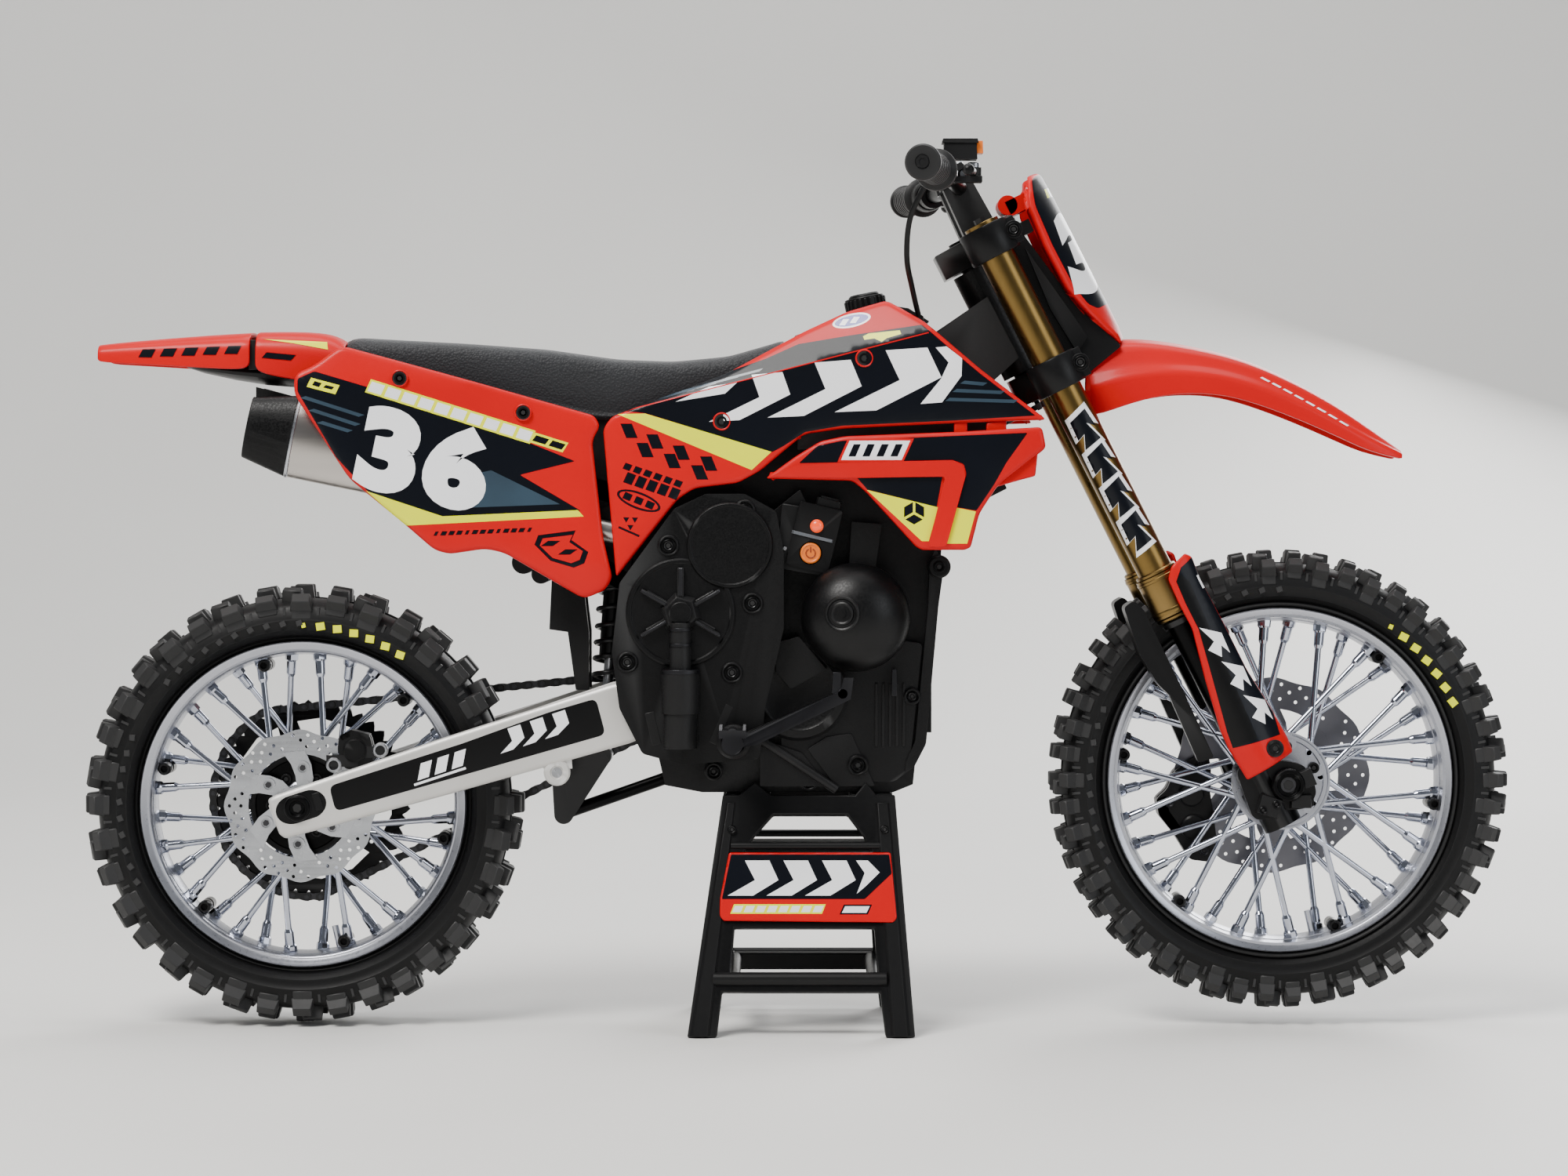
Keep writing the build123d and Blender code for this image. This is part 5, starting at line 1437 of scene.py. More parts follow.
def build_number_plate():
    """A bowed front plate with deep sides, a dark face, a number and its mount."""
    rows = [(-0.5, 37.6, 1.6, 11.5), (3, 36.8, 3.4, 13.8), (10, 33.8, 6.4, 16.4), (18, 31, 9.3, 18.8),
            (26.5, 28.8, 11.4, 20.8), (44, 28.4, 11.8, 23.2), (60, 29.4, 10.6, 24.2),
            (65, 31.2, 8.6, 22.6), (69.5, 33.4, 6.2, 18.6), (71.5, 34.4, 4.6, 14)]

    def shape_at(height):
        """How far ahead, how bowed and how wide the plate is at a height."""
        for (h0, *low), (h1, *high) in zip(rows, rows[1:]):
            if height <= h1:
                break
        t = max(0, min(1, (height - h0) / (h1 - h0)))
        return [a + (b - a) * t for a, b in zip(low, high)]

    def place(y, height, low):
        """A point of the plate in space."""
        ahead, bow, half = shape_at(height)
        share = min(1, abs(y / half))
        return fork_place(height, ahead + bow * (1 - share ** 2.1) - low, y)

    outline = [(half, height) for height, _, _, half in rows]
    outline += [(-half, height) for height, _, _, half in reversed(rows)]
    field = [(half - 1.3, height) for height, _, _, half in rows[3:-1]]
    field = [(14.6, 15)] + field + [(12, 70.4)]
    field += [(-y, height) for y, height in reversed(field)]
    marks = []
    mark(marks, rounded(field, 1.4), NAVY)
    marks += numerals("36", (0, 37.5), 33, -1, WHITE, lean=0.1, bold=0.07, wide=0.96, gap=0.62)
    for bar in range(7):
        mark(marks, leaning_box(-11.6 + bar * 3.9, 62.6, 3, 3.6, 0.6), YELLOW if bar in (0, 6)
             else WHITE)
    printed("front_plate_shell", rounded(outline, 1.5), place, ahead_fork, PRINTS, "steering",
            "red_plastic", marks, ("number_plate",), thick=5.2, fillet=1.6, drop=1.0, pillow=0.0,
            step=3.0)

    mount = bmesh.new()
    lug = [fork_place(65.5 + 3.8 * sin(a), 22.6 + 3.8 * cos(a), -8) for a in round_angles(20)]
    prism(mount, lug, ACROSS * 16, 0)
    block(mount, fork_place(64, 26, 0), FORK_AXES, (8, 16, 6), 1, 0)
    block(mount, fork_place(55, 21.5, 0), FORK_AXES, (12, 12, 5), 1, 1)
    for side in SIDES:
        block(mount, fork_place(58.6, 20.4, side * 7), FORK_AXES, (4.6, 3, 3.4), 1, 2)
        block(mount, fork_place(6, 31.5, side * 8), FORK_AXES, (6, 3.4, 4.4), 1, 2)
    backing = rounded([(76.7, 296.5), (84, 303), (106.1, 273.4), (123, 258.5), (108, 246), (98, 262)],
                      1.2)
    plate(mount, backing, -13, 13, 1)
    for side in SIDES:
        edge = rounded([(86, 296), (104, 271), (110, 262), (106, 256), (96, 272)], 1)
        plate(mount, edge, side * 13, side * 14.6, 1)
    finish("front_plate_mount", mount, [red, black, steel], "steering", bevel=0.6,
           segments=2)


build_number_plate()


def build_fork_trim():
    """Machined rings, caps, pinch bolts and wraps on the fork."""
    rings = bmesh.new()
    bolts = bmesh.new()
    for side in SIDES:
        base = fork_place(0, leg_ahead, side * leg_y)
        for height, radius, wide in ((-83.2, 8, 1.6), (-85.6, 8.8, 1.8), (-98.2, 8.8, 2.4),
                                     (-101, 8.2, 1.4)):
            lathe(rings, [(radius - 2.4, -wide / 2), (radius - 0.4, -wide / 2), (radius, -wide / 4),
                          (radius, wide / 4), (radius - 0.4, wide / 2), (radius - 2.4, wide / 2)],
                  base + up_fork * height, up_fork, 40, 0, closed=True)
        lathe(rings, [(0, 60), (6.4, 60), (6.4, 62.4), (5.6, 63.2), (3.6, 63.2), (3.4, 62.6),
                      (0, 62.6)], base, up_fork, 36, 0)
        rod(rings, base + up_fork * 62, base + up_fork * 65.2, 2.3, sides=6, material=1)
        lathe(rings, [(5.4, -104.5), (6.6, -104.5), (6.9, -102.5), (5.4, -101.6)], base, up_fork, 32,
              1, closed=True)
        for height in (55.5, 0):
            at = base + up_fork * height + ahead_fork * 9.4 + ACROSS * side
            rod(bolts, at - ACROSS * side * 3, at + ACROSS * side * 6.6, 3.4, sides=24)
            socket_screw(bolts, at + ACROSS * side * 6.2, ACROSS * side, 2.5, 1.2, 1, 2)
            lathe(bolts, [(7.2, height - 6.2), (9.6, height - 6.2), (10, height - 5.4),
                          (10, height + 5.4), (9.6, height + 6.2), (7.2, height + 6.2)], base, up_fork,
                  44, 0, closed=True)
        for height, high in ((0, 11.4), (55.5, 10.4)):
            block(bolts, base + ahead_fork * 8.6 + up_fork * height, FORK_AXES, (6, 9, high))
    finish("fork_rings", rings, [gold, black_metal], "steering", smooth=40)
    finish("clamp_bolts", bolts, [black, black_metal, recess_shade], "steering", bevel=0.35)

    skin = surface_of(frame["nodes"]["fork_tubes"])
    art = bmesh.new()

    def across_leg(points):
        """Points given along and ahead of a leg, as x and z."""
        return [(fork_place(h, leg_ahead + a).x, fork_place(h, leg_ahead + a).z) for h, a in points]

    for side in SIDES:
        for step in range(4):
            low = -17 - step * 14.2
            arrow = [(low, -5.4), (low + 3.2, 4.2), (low - 6.6, 5.4), (low - 3.4, 1.6),
                     (low - 13.2, 5), (low - 15.4, -4.6), (low - 8, -1.6), (low - 9.8, -5.6)]
            middle = (sum(h for h, _ in arrow) / 8, sum(a for _, a in arrow) / 8)
            inner = [(middle[0] + (h - middle[0]) * 0.76, middle[1] + (a - middle[1]) * 0.76)
                     for h, a in arrow]
            graphic(art, across_leg(arrow), skin, side, 1, 0.16, 1.6)
            graphic(art, across_leg(inner), skin, side, 0, 0.3, 1.6)
    finish("fork_art", art, [navy, white], "steering", smooth=60)


build_fork_trim()


def guard_prints():
    """The dark cover with its darker rear half and white marks."""
    out = []
    mark(out, [(141.4, 169.8), (143.2, 175), (147.6, 178.8), (151, 170.2), (159.6, 154),
               (168.4, 136.6), (178.6, 120.6), (181, 112.4), (162.9, 107.4), (160.7, 113.4),
               (155.2, 133), (149.8, 152), (145, 161.4)], 1)
    mark(out, [(141.4, 169.8), (142.4, 172.8), (146.4, 170), (163.2, 131.6), (171.9, 111.2),
               (162.9, 107.4), (160.7, 113.4), (155.2, 133), (149.8, 152), (145, 161.4)], 2)
    for step in range(3):
        x, z = 150.0 + step * 8.3, 152.6 - step * 12.6
        mark(out, [(x, z), (x + 8.6, z - 2), (x + 11.8, z - 9.4), (x + 8.4, z - 6.6),
                   (x + 8.6, z - 11), (x + 3.4, z - 8.4), (x + 5.6, z - 5.2)], 3)
    mark(out, [(150.4, 172.4), (152.8, 167.6), (151.6, 167.2), (149.2, 172)], 3)
    return out


def build_guards():
    """Fork guards, their screws and the axle feet."""
    for side in SIDES:
        outline = rounded([(138.4, 170.6), (139.6, 175.4), (144.9, 180.4), (147.6, 179.2),
                           (150.8, 170.6), (159.6, 154.3), (168.4, 136.9), (178.6, 120.9),
                           (184, 111.4), (186.2, 105.8), (168.4, 95.4), (161.6, 106.7), (158.4, 113.6),
                           (152.4, 133.2), (147.4, 152.2), (142.4, 161.6)], 1)

        def guard_offset(x, z):
            """How far out the guard is: it curves back round the leg."""
            middle = 170.0 - (z - 108) * 0.47
            return 38.4 - 0.03 * (x - middle) ** 2

        panel("fork_guard_" + LABEL[side], outline, guard_offset, side, "fork_lower",
              [red, navy, black, white], "red_plastic", guard_prints(), thick=1.9, drop=0.8,
              fillet=1.5, step=3.0, replaces=("fork_guards",) if side < 0 else ())
        foot = bmesh.new()
        outward = ACROSS * side
        socket_screw(foot, Vector((178.6, side * 36.7, 107.4)), outward, 2.6, 1.5, 0, 1)
        lathe(foot, [(2.4, 0), (3.3, 0), (3.3, 1.1), (2.6, 1.4)], Vector((178.6, side * 36.7, 107.4)),
              outward, 28, 0, closed=True)
        middle = Vector((front_centre.x, side * 31.4, front_centre.z))
        cast = [(-19, 4), (-13.4, -11.6), (-11.6, -13.2), (-5.2, -12.8), (-1.4, -9.6), (4, -9.4),
                (8.4, -8.4), (10.8, -3.2), (9.4, 3.4), (5.6, 7.4), (1, 8.6), (-6, 9.4), (-16, 12)]
        shape = [(front_centre.x + x, front_centre.z + z) for x, z in cast]
        plate(foot, rounded(shape, 1.4), side * 24, side * 32.6, 0)
        for at_x, at_z, wide, high, lean in ((-7, -8, 9, 8, 0.3), (4.8, -6.2, 8.4, 5.4, 0),
                                             (7.2, 2.4, 5.4, 7.4, -0.4)):
            axes = (Vector((cos(lean), 0, -sin(lean))), Vector((sin(lean), 0, cos(lean))), outward)
            block(foot, middle + Vector((at_x, side * 2.4, at_z)), axes, (wide, high, 3.6), 0.86, 0)
        for at_x, at_z in ((-9.6, -9.4), (-4.6, -7.2)):
            socket_screw(foot, middle + Vector((at_x, side * 4.2, at_z)), outward, 1.5, 0.7, 2, 1)
        lathe(foot, [(0, 0), (6.2, 0), (6.2, 3.2), (5.6, 3.9), (4.4, 3.9), (4.1, 2.8), (3, 2.8),
                     (2.7, 1.6), (0, 1.6)], middle + outward * 1, outward, 36, 2)
        # The nut's socket: a hex plug of painted shade.
        rod(foot, middle + outward * 2.2, middle + outward * 3.3, 2, sides=6, material=1)
        fairing = rounded([(122.5, 160), (126.4, 162.6), (130.2, 158.8), (137.6, 143.6),
                           (146.6, 125.2), (148, 119), (135.5, 131), (128.5, 142)], 1.6)
        plate(foot, fairing, side * 17.5, side * 31, 0)
        link = [(137, 133), (146.4, 125.4), (156.6, 103.6), (150.8, 101.6)]
        plate(foot, rounded(link, 1), side * 25, side * 30.4, 0)
        finish("axle_foot_" + LABEL[side], foot, [black, recess_shade, black_metal], "fork_lower",
               bevel=0.5)


build_guards()


def build_bars():
    """Ribbed grips, perch collars, adjusters, bar risers and a reservoir."""
    grip_end = Vector((44.5, 98.8, 321))
    bend = Vector((57, 38, 320))
    grips, trim = bmesh.new(), bmesh.new()
    for side in SIDES:
        end = Vector((grip_end.x, side * grip_end.y, grip_end.z))
        inboard = (Vector((bend.x, side * bend.y, bend.z)) - end).normalized()
        profile = [(0, 0.2), (2.6, 0.2), (2.8, -0.2), (5.9, -0.2), (6.6, 0.6), (6.6, 2), (5.6, 2.6)]
        for ridge in range(8):
            at = 3.4 + ridge * 3
            profile += [(5.2, at), (5.9, at + 0.7), (5.9, at + 1.7), (5.2, at + 2.4)]
        profile += [(6.2, 28.2), (7.6, 28.8), (7.8, 30.2), (6.4, 31.2), (3.2, 31.4)]
        lathe(grips, profile, end, inboard, 40, 0)
        rod(grips, end - inboard * 0.25, end + inboard * 1, 2.6, sides=6, material=1)
        lathe(grips, [(1.2, -0.5), (2.2, -0.5), (2.4, 0.4), (1.2, 0.4)], end, inboard, 24, 1,
              closed=True)
        perch = end + inboard * 37
        lathe(trim, [(3.1, -4.4), (5.6, -4.4), (6, -3.4), (6, 3.4), (5.6, 4.4), (3.1, 4.4)], perch,
              inboard, 32, 0, closed=True)
        lathe(trim, [(3.1, 5.5), (5.2, 5.5), (5.2, 11), (3.1, 11)], perch, inboard, 32, 0, closed=True)
        socket_screw(trim, perch + Vector((12.5, -1 * side, 2)), UPWARD, 2.2, 1.4, 1, 2)
        rod(trim, perch + Vector((9, -side * 2, -0.6)), perch + Vector((9, -side * 8, -0.6)), 1.5, 1.1,
            sides=12, material=1)
        lathe(trim, [(1, 0), (2.1, 0), (2.1, 1.6), (1, 1.6)], perch + Vector((9, -side * 6, -0.6)),
              ACROSS * side, 20, 0, closed=True)
        riser = fork_place(72, 8.3, side * 13)
        block(trim, riser, FORK_AXES, (13, 9.5, 22), 0.86, 0)
        block(trim, fork_place(84.5, 8.3, side * 13), FORK_AXES, (13.5, 9, 6.5), 0.8, 0)
        for step in SIDES:
            socket_screw(trim, fork_place(87.2, 8.3 + 4.2 * step, side * 13), up_fork, 1.7, 1, 1, 2)
    right_perch = Vector((grip_end.x, -grip_end.y, grip_end.z))
    right_perch += (Vector((bend.x, -bend.y, bend.z)) - right_perch).normalized() * 37
    tank = right_perch + Vector((7.5, 0.5, 7.4))
    block(trim, tank, UPRIGHT, (12.5, 9, 6.2), 0.94, 0)
    block(trim, tank + Vector((0, 0, 3.6)), UPRIGHT, (13.4, 9.8, 1.6), 0.94, 0)
    block(trim, tank + Vector((7.2, 0, 1.4)), UPRIGHT, (2.4, 6.4, 4.6), 0.9, 3)
    for step in SIDES:
        socket_screw(trim, tank + Vector((4.2 * step, 0, 4.2)), UPWARD, 1.1, 0.6, 1, 2)
    finish("grip_sleeves", grips, [grip_rubber, black_metal], "steering",
           replaces=("grips",), smooth=35)
    finish("bar_trim", trim, [black, steel, recess_shade, orange], "steering", bevel=0.5)


build_bars()


def build_throttle_cable():
    """The cable from the right perch into the frame behind the steering head."""
    route = [(47, -60, 316), (41.5, -57, 304), (40.5, -48, 290), (43, -35, 279), (46, -25, 268)]
    bm = bmesh.new()
    tube(bm, smooth_route(route, 10), 1.05, 12, 0)
    rod(bm, route[0], Vector(route[0]) + Vector((2.6, 0, 5)), 1.7, 2.3, material=1)
    rod(bm, Vector(route[-1]) - Vector((0.6, 2, 2.4)), Vector(route[-1]) + Vector((0, 0, 1)), 1.6, 1.6,
        material=1)
    cable = finish("throttle_cable_sleeve", bm, [black, black_metal], "",
                   replaces=("throttle_cable",), smooth=50)
    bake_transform(cable)


build_throttle_cable()

# ==== engine, gear cover and frame =============================================
EASED = {
    "gear_cover": ("black_composite", composite, 0.5),
    "crankcase": ("black_composite", composite, 0.5),
    "main_frame": ("black_composite", composite, 0.45),
    "stand_sides": ("black_composite", black, 0.6),
    "stand_top": ("black_composite", black, 0.5),
    "tank_cover": ("black_plastic", black, 0.6),
    "upper_clamp": ("black_anodised", black_metal, 0.6),
    "lower_clamp": ("black_anodised", black_metal, 0.6),
    "muffler_cap": ("black_plastic", composite, 0.4),
    "fork_legs": ("black_plastic", black_metal, 0.4),
    "foot_pegs": ("dark_steel", dark_steel, 0.4),
    "control_module": ("black_plastic", black, 0.5),
    "swingarm": ("swingarm_metal", arm_metal, 0.7),
    "control_perches": ("black_plastic", black, 0.4),
    "steering_servo": ("black_plastic", black, 0.4),
}
for node, (node_slot, finish_material, eased) in EASED.items():
    dressed(node, [finish_material], BODY[node], bevel=eased)


def ringed_screw(bm, x, z, y, radius=2.4, ring=4.1):
    """A cap screw in its round boss on the right side."""
    outward = -ACROSS
    base = Vector((x, -y, z))
    lathe(bm, [(ring, -2), (ring, 0.9), (ring - 0.5, 1.4), (radius + 0.7, 1.4), (radius + 0.5, 0.5),
               (0, 0.5), (0, -2)], base, outward, 36, 0)
    socket_screw(bm, base + outward * 0.5, outward, radius, 0.9, 1, 2)


def build_gear_cover():
    """Star boss, round panels, post and ringed screws on the right-hand cover."""
    bm = bmesh.new()
    outward = -ACROSS
    face = 31.6
    star = Vector((-43.6, -face, 157.9))
    lathe(bm, [(0, -1), (20.6, -1), (20.6, 0.7), (19.9, 1.3), (18.7, 1.3), (18.3, 0.9), (0, 0.9)],
          star, outward, 72, 0)
    lobe = Vector((-25.2, -face, 183.2))
    lathe(bm, [(0, -1), (16.2, -1), (16.2, 1.2), (15.6, 1.9), (14.7, 1.9), (14.4, 1.5), (0, 1.5)],
          lobe, outward, 72, 0)
    for angle in (90, 30, 150, 210, 330):
        run = Vector((cos(radians(angle)), 0, sin(radians(angle))))
        cross = Vector((-run.z, 0, run.x))
        middle = star + run * 11.4 + outward * 2.3
        wide = 2.5 if angle == 90 else 1.5
        block(bm, middle, (run, cross, outward), (11.5, wide, 3.2), 0.92, 0)
        block(bm, middle + run * 0.2 + outward * 1.65, (run, cross, outward), (11, wide * 0.66, 0.35),
              0.9, 3)
    lathe(bm, [(0, 0), (8.2, 0), (7.2, 3.4), (6.2, 4.6), (5.4, 4.8), (0, 4.8)], star, outward, 6, 0)
    lathe(bm, [(0, 4), (4.4, 4), (4.4, 5.1), (4, 5.5), (0, 5.5)], star, outward, 40, 0)
    post_top = star + outward * 4 - UPWARD * 3.6
    for start, end, wide, finish_index in ((0, 17.6, 4, 0), (1.9, 3.1, 4.5, 3), (7.6, 8.8, 4.5, 3),
                                           (17.4, 19, 7.4, 3), (18.6, 34, 7.1, 0), (33, 47, 6.3, 0)):
        rod(bm, post_top - UPWARD * start, post_top - UPWARD * end, wide, wide, 28, finish_index)
    for x, z in ((-19.6, 196.4), (-48.2, 183.1), (-16.7, 161.5), (-24.4, 135.5), (-63.6, 139.4)):
        ringed_screw(bm, x, z, face)
    for start, end, wide in (((-56, 123), (-52, 106), 5), ((-24, 126), (-33, 106), 4.2)):
        a, b = Vector((start[0], -30.6, start[1])), Vector((end[0], -30.6, end[1]))
        run = (b - a).normalized()
        block(bm, (a + b) / 2, (run, run.cross(outward), outward), ((b - a).length, wide, 3), 0.7, 0)
    peg = Vector((-23.8, -30.5, 109.8))
    lathe(bm, [(0, 0), (6.4, 0), (6.4, 6.6), (5.4, 7.8), (4.4, 7.8), (4.2, 7), (0, 7)], peg, outward,
          40, 0)
    lathe(bm, [(0, 6), (2.9, 6), (2.9, 8.6), (2.2, 9.4), (1.3, 9.4), (1.2, 8.7), (0, 8.7)], peg,
          outward, 30, 3)
    finish("gear_cover_details", bm, [composite, black_metal, recess_shade, dark_steel], "chassis",
           replaces=("cover_screws",), bevel=0.25)


build_gear_cover()


def build_side_covers():
    """Covers, struts and bolts ahead of the gear cover on both sides, and the pedal's trim."""
    low_x, low_z = -34, 92
    for side in SIDES:
        bm = bmesh.new()
        outward = ACROSS * side
        door = rounded([(-6, 93.5), (36.5, 93.5), (42.5, 98), (47.5, 146), (33, 148), (8, 144),
                        (-6, 133)], 2)
        plate(bm, door, side * 17.6, side * 20.2, 0)
        for bar in range(5):
            start = Vector((30 + bar * 2.6, side * 20.2, 104))
            block(bm, start + UPWARD * 15, (UPWARD, ALONG, outward), (26, 1.1, 1.2), 0.9, 0)
        round_cover = Vector((0.8, side * 18.5, 127.8))
        lathe(bm, [(0, 0), (18.6, 0), (18.6, 3.4), (17.4, 5), (14.6, 5.6), (13.6, 5), (0, 5)],
              round_cover, outward, 72, 0)
        diamond = rounded([(-8.4, 146.6), (0.8, 148.8), (11.2, 136.5), (-2.4, 129), (-8, 135.5)], 1)
        plate(bm, diamond, side * 20, side * 26, 0)
        lower = rounded([(low_x + 20, low_z), (11.5, low_z), (2, 104.6), (-9.5, 108.6),
                         (low_x + 20, 107)], 0.8)
        plate(bm, lower, side * 17, side * 22, 0)
        front_lower = rounded([(4, 106), (14.6, low_z), (29.5, low_z), (20.5, 112), (11, 110.6)], 0.8)
        plate(bm, front_lower, side * 17, side * 21.4, 0)
        rod(bm, (-14, side * 22.6, 110), (15, side * 22.6, 90.8), 1.7, 1.7, 20, 0)
        strap = [(20.5, 192), (32, 191), (29.5, 174), (19.5, 174)]
        plate(bm, rounded(strap, 0.8), side * 18, side * 22.4, 0)
        bracket = rounded([(-9.2, 195.8), (1.2, 204.2), (4, 198), (0.5, 183), (-5.5, 181.5),
                           (-9, 190)], 0.8)
        plate(bm, bracket, side * 18, side * 23, 0)
        edge = [(52, 182), (55.6, 176), (53.4, 160), (48.8, 108), (44.4, 99.5), (41, 97), (41, 101),
                (44.6, 109), (49.4, 160), (50, 176)]
        plate(bm, rounded(edge, 1), side * 17, side * 21, 0)
        knuckle = Vector((53.6, side * 17.5, 175))
        lathe(bm, [(0, 0), (4.4, 0), (4.4, 4.6), (3.6, 5.4), (0, 5.4)], knuckle, outward, 32, 0)
        socket_screw(bm, knuckle + outward * 5, outward, 2.3, 0.8, 1, 2)
        for x, z, y, size in ((4.4, 93.6, 20.6, 1.9), (23, 100, 21.4, 2.5), (-31.5, 97.5, 18.4, 2),
                              (43.5, 126, 20.4, 1.8)):
            spot = Vector((x, side * y, z))
            lathe(bm, [(size + 0.3, -1.5), (size + 1.5, -1.5), (size + 1.5, 0.9), (size + 0.9, 1.4),
                       (size + 0.3, 1)], spot, outward, 30, 0, closed=True)
            socket_screw(bm, spot, outward, size, 1, 1, 2)
        filler = rounded([(-84, 236), (-64, 236), (-60, 196), (-64, 166), (-78, 168), (-82, 196)], 1.5)
        plate(bm, filler, side * 9.5, side * 13, 0)
        for x, z, size in ((-103.6, 176.5, 4.4), (-97, 172, 3.6)):
            rod(bm, (x, side * 4, z), (x, side * 16, z), size, size, 28, 0)
        finish("side_covers_" + LABEL[side], bm, [composite, black_metal, recess_shade], "chassis",
               bevel=0.4)

    bm = bmesh.new()
    route = [(-18, -38.6, 112.6), (-8, -38.6, 116.8), (6, -38.4, 122.4), (17, -38, 127.4)]
    tube(bm, smooth_route(route, 6), 1.5, 14, 0)
    rod(bm, (17, -41, 128), (17, -32, 128), 1.9, 1.9, 18, 1)
    block(bm, Vector((14.8, -37, 132)), UPRIGHT, (3.6, 6.5, 8), 0.8, 1)
    block(bm, Vector((36.6, -24, 131.5)), UPRIGHT, (2, 5, 10), 0.8, 1)
    for step in range(4):
        at = Vector((-7.5 + step * 6.1, -40.2, 117.2 + step * 2.6))
        socket_screw(bm, at, -ACROSS, 0.8, 0.4, 1, 0)
    finish("brake_pedal_trim", bm, [black_metal, dark_steel], "chassis", bevel=0.2)


build_side_covers()


def build_switch_box():
    """The switch housing with its clip, ridge and lamp, and the power button's cap."""
    bm = bmesh.new()
    turn = radians(-13.6)
    along = Vector((cos(turn), 0, sin(turn)))
    rise = Vector((-sin(turn), 0, cos(turn)))
    middle = Vector((6.4, -22.6, 186.1))
    axes = (along, rise, -ACROSS)
    button = Vector((5.1, 0, 180.2))
    outline = []
    for u, v in ((-8.2, 12.2), (-8.2, -12.2), (8.2, -12.2), (8.2, 12.2)):
        corner = middle + along * u + rise * v
        outline.append((corner.x, corner.z))
    shell = [rounded(outline, 1.2)]
    hole = [(button.x + 4.3 * cos(a), button.z + 4.3 * sin(a)) for a in round_angles(40)]
    local = [[(x - middle.x, z - middle.z) for x, z in loop] for loop in (*shell, hole)]
    cut_plate(bm, local, middle, -25, -28.2, 0)
    plate(bm, shell[0], -18.5, -25.4, 0)
    block(bm, middle + rise * 13.4 + along * 2.4, axes, (9.6, 3.8, 8), 0.9, 0)
    block(bm, middle + rise * 15.2 + along * 2.4, axes, (7.2, 1.6, 6.6), 0.9, 0)
    block(bm, middle + rise * 0.2 + along * -0.6 - ACROSS * 5.7, axes, (16.2, 1.3, 0.9), 0.9, 1)
    lathe(bm, [(0, 0), (2.5, 0), (2.5, 0.7), (1.9, 1.5), (0.9, 1.9), (0, 1.95)],
          Vector((7.4, -28, 190.4)), -ACROSS, 28, 2)
    rod(bm, (-4.6, -27, 182), (-4.6, -29.2, 182), 1, 0.7, 16, 3)
    finish("switch_box_shell", bm, [black, slate_grey, lamp, steel], "chassis",
           bevel=0.35)

    knob_mesh = bmesh.new()
    front = Vector((button.x, -28.1, button.z))
    lathe(knob_mesh, [(0, -1), (3.9, -1), (3.9, 0.3), (3.5, 0.7), (3.1, 0.7), (2.9, 0.45), (0, 0.45)],
          front, -ACROSS, 44, 0)
    opening = radians(50)
    ring = []
    for step in range(23):
        angle = pi / 2 + opening / 2 + (2 * pi - opening) * step / 22
        ring.append(front + Vector((1.75 * cos(angle), -0.5, 1.75 * sin(angle))))
    tube(knob_mesh, ring, 0.26, 8, 1)
    block(knob_mesh, front + Vector((0, -0.5, 1.4)), UPRIGHT, (0.5, 0.5, 2.2), 1, 1)
    finish("power_button_cap", knob_mesh, [orange, burnt], "button_body",
           replaces=("power_button",), bevel=0.1)


build_switch_box()


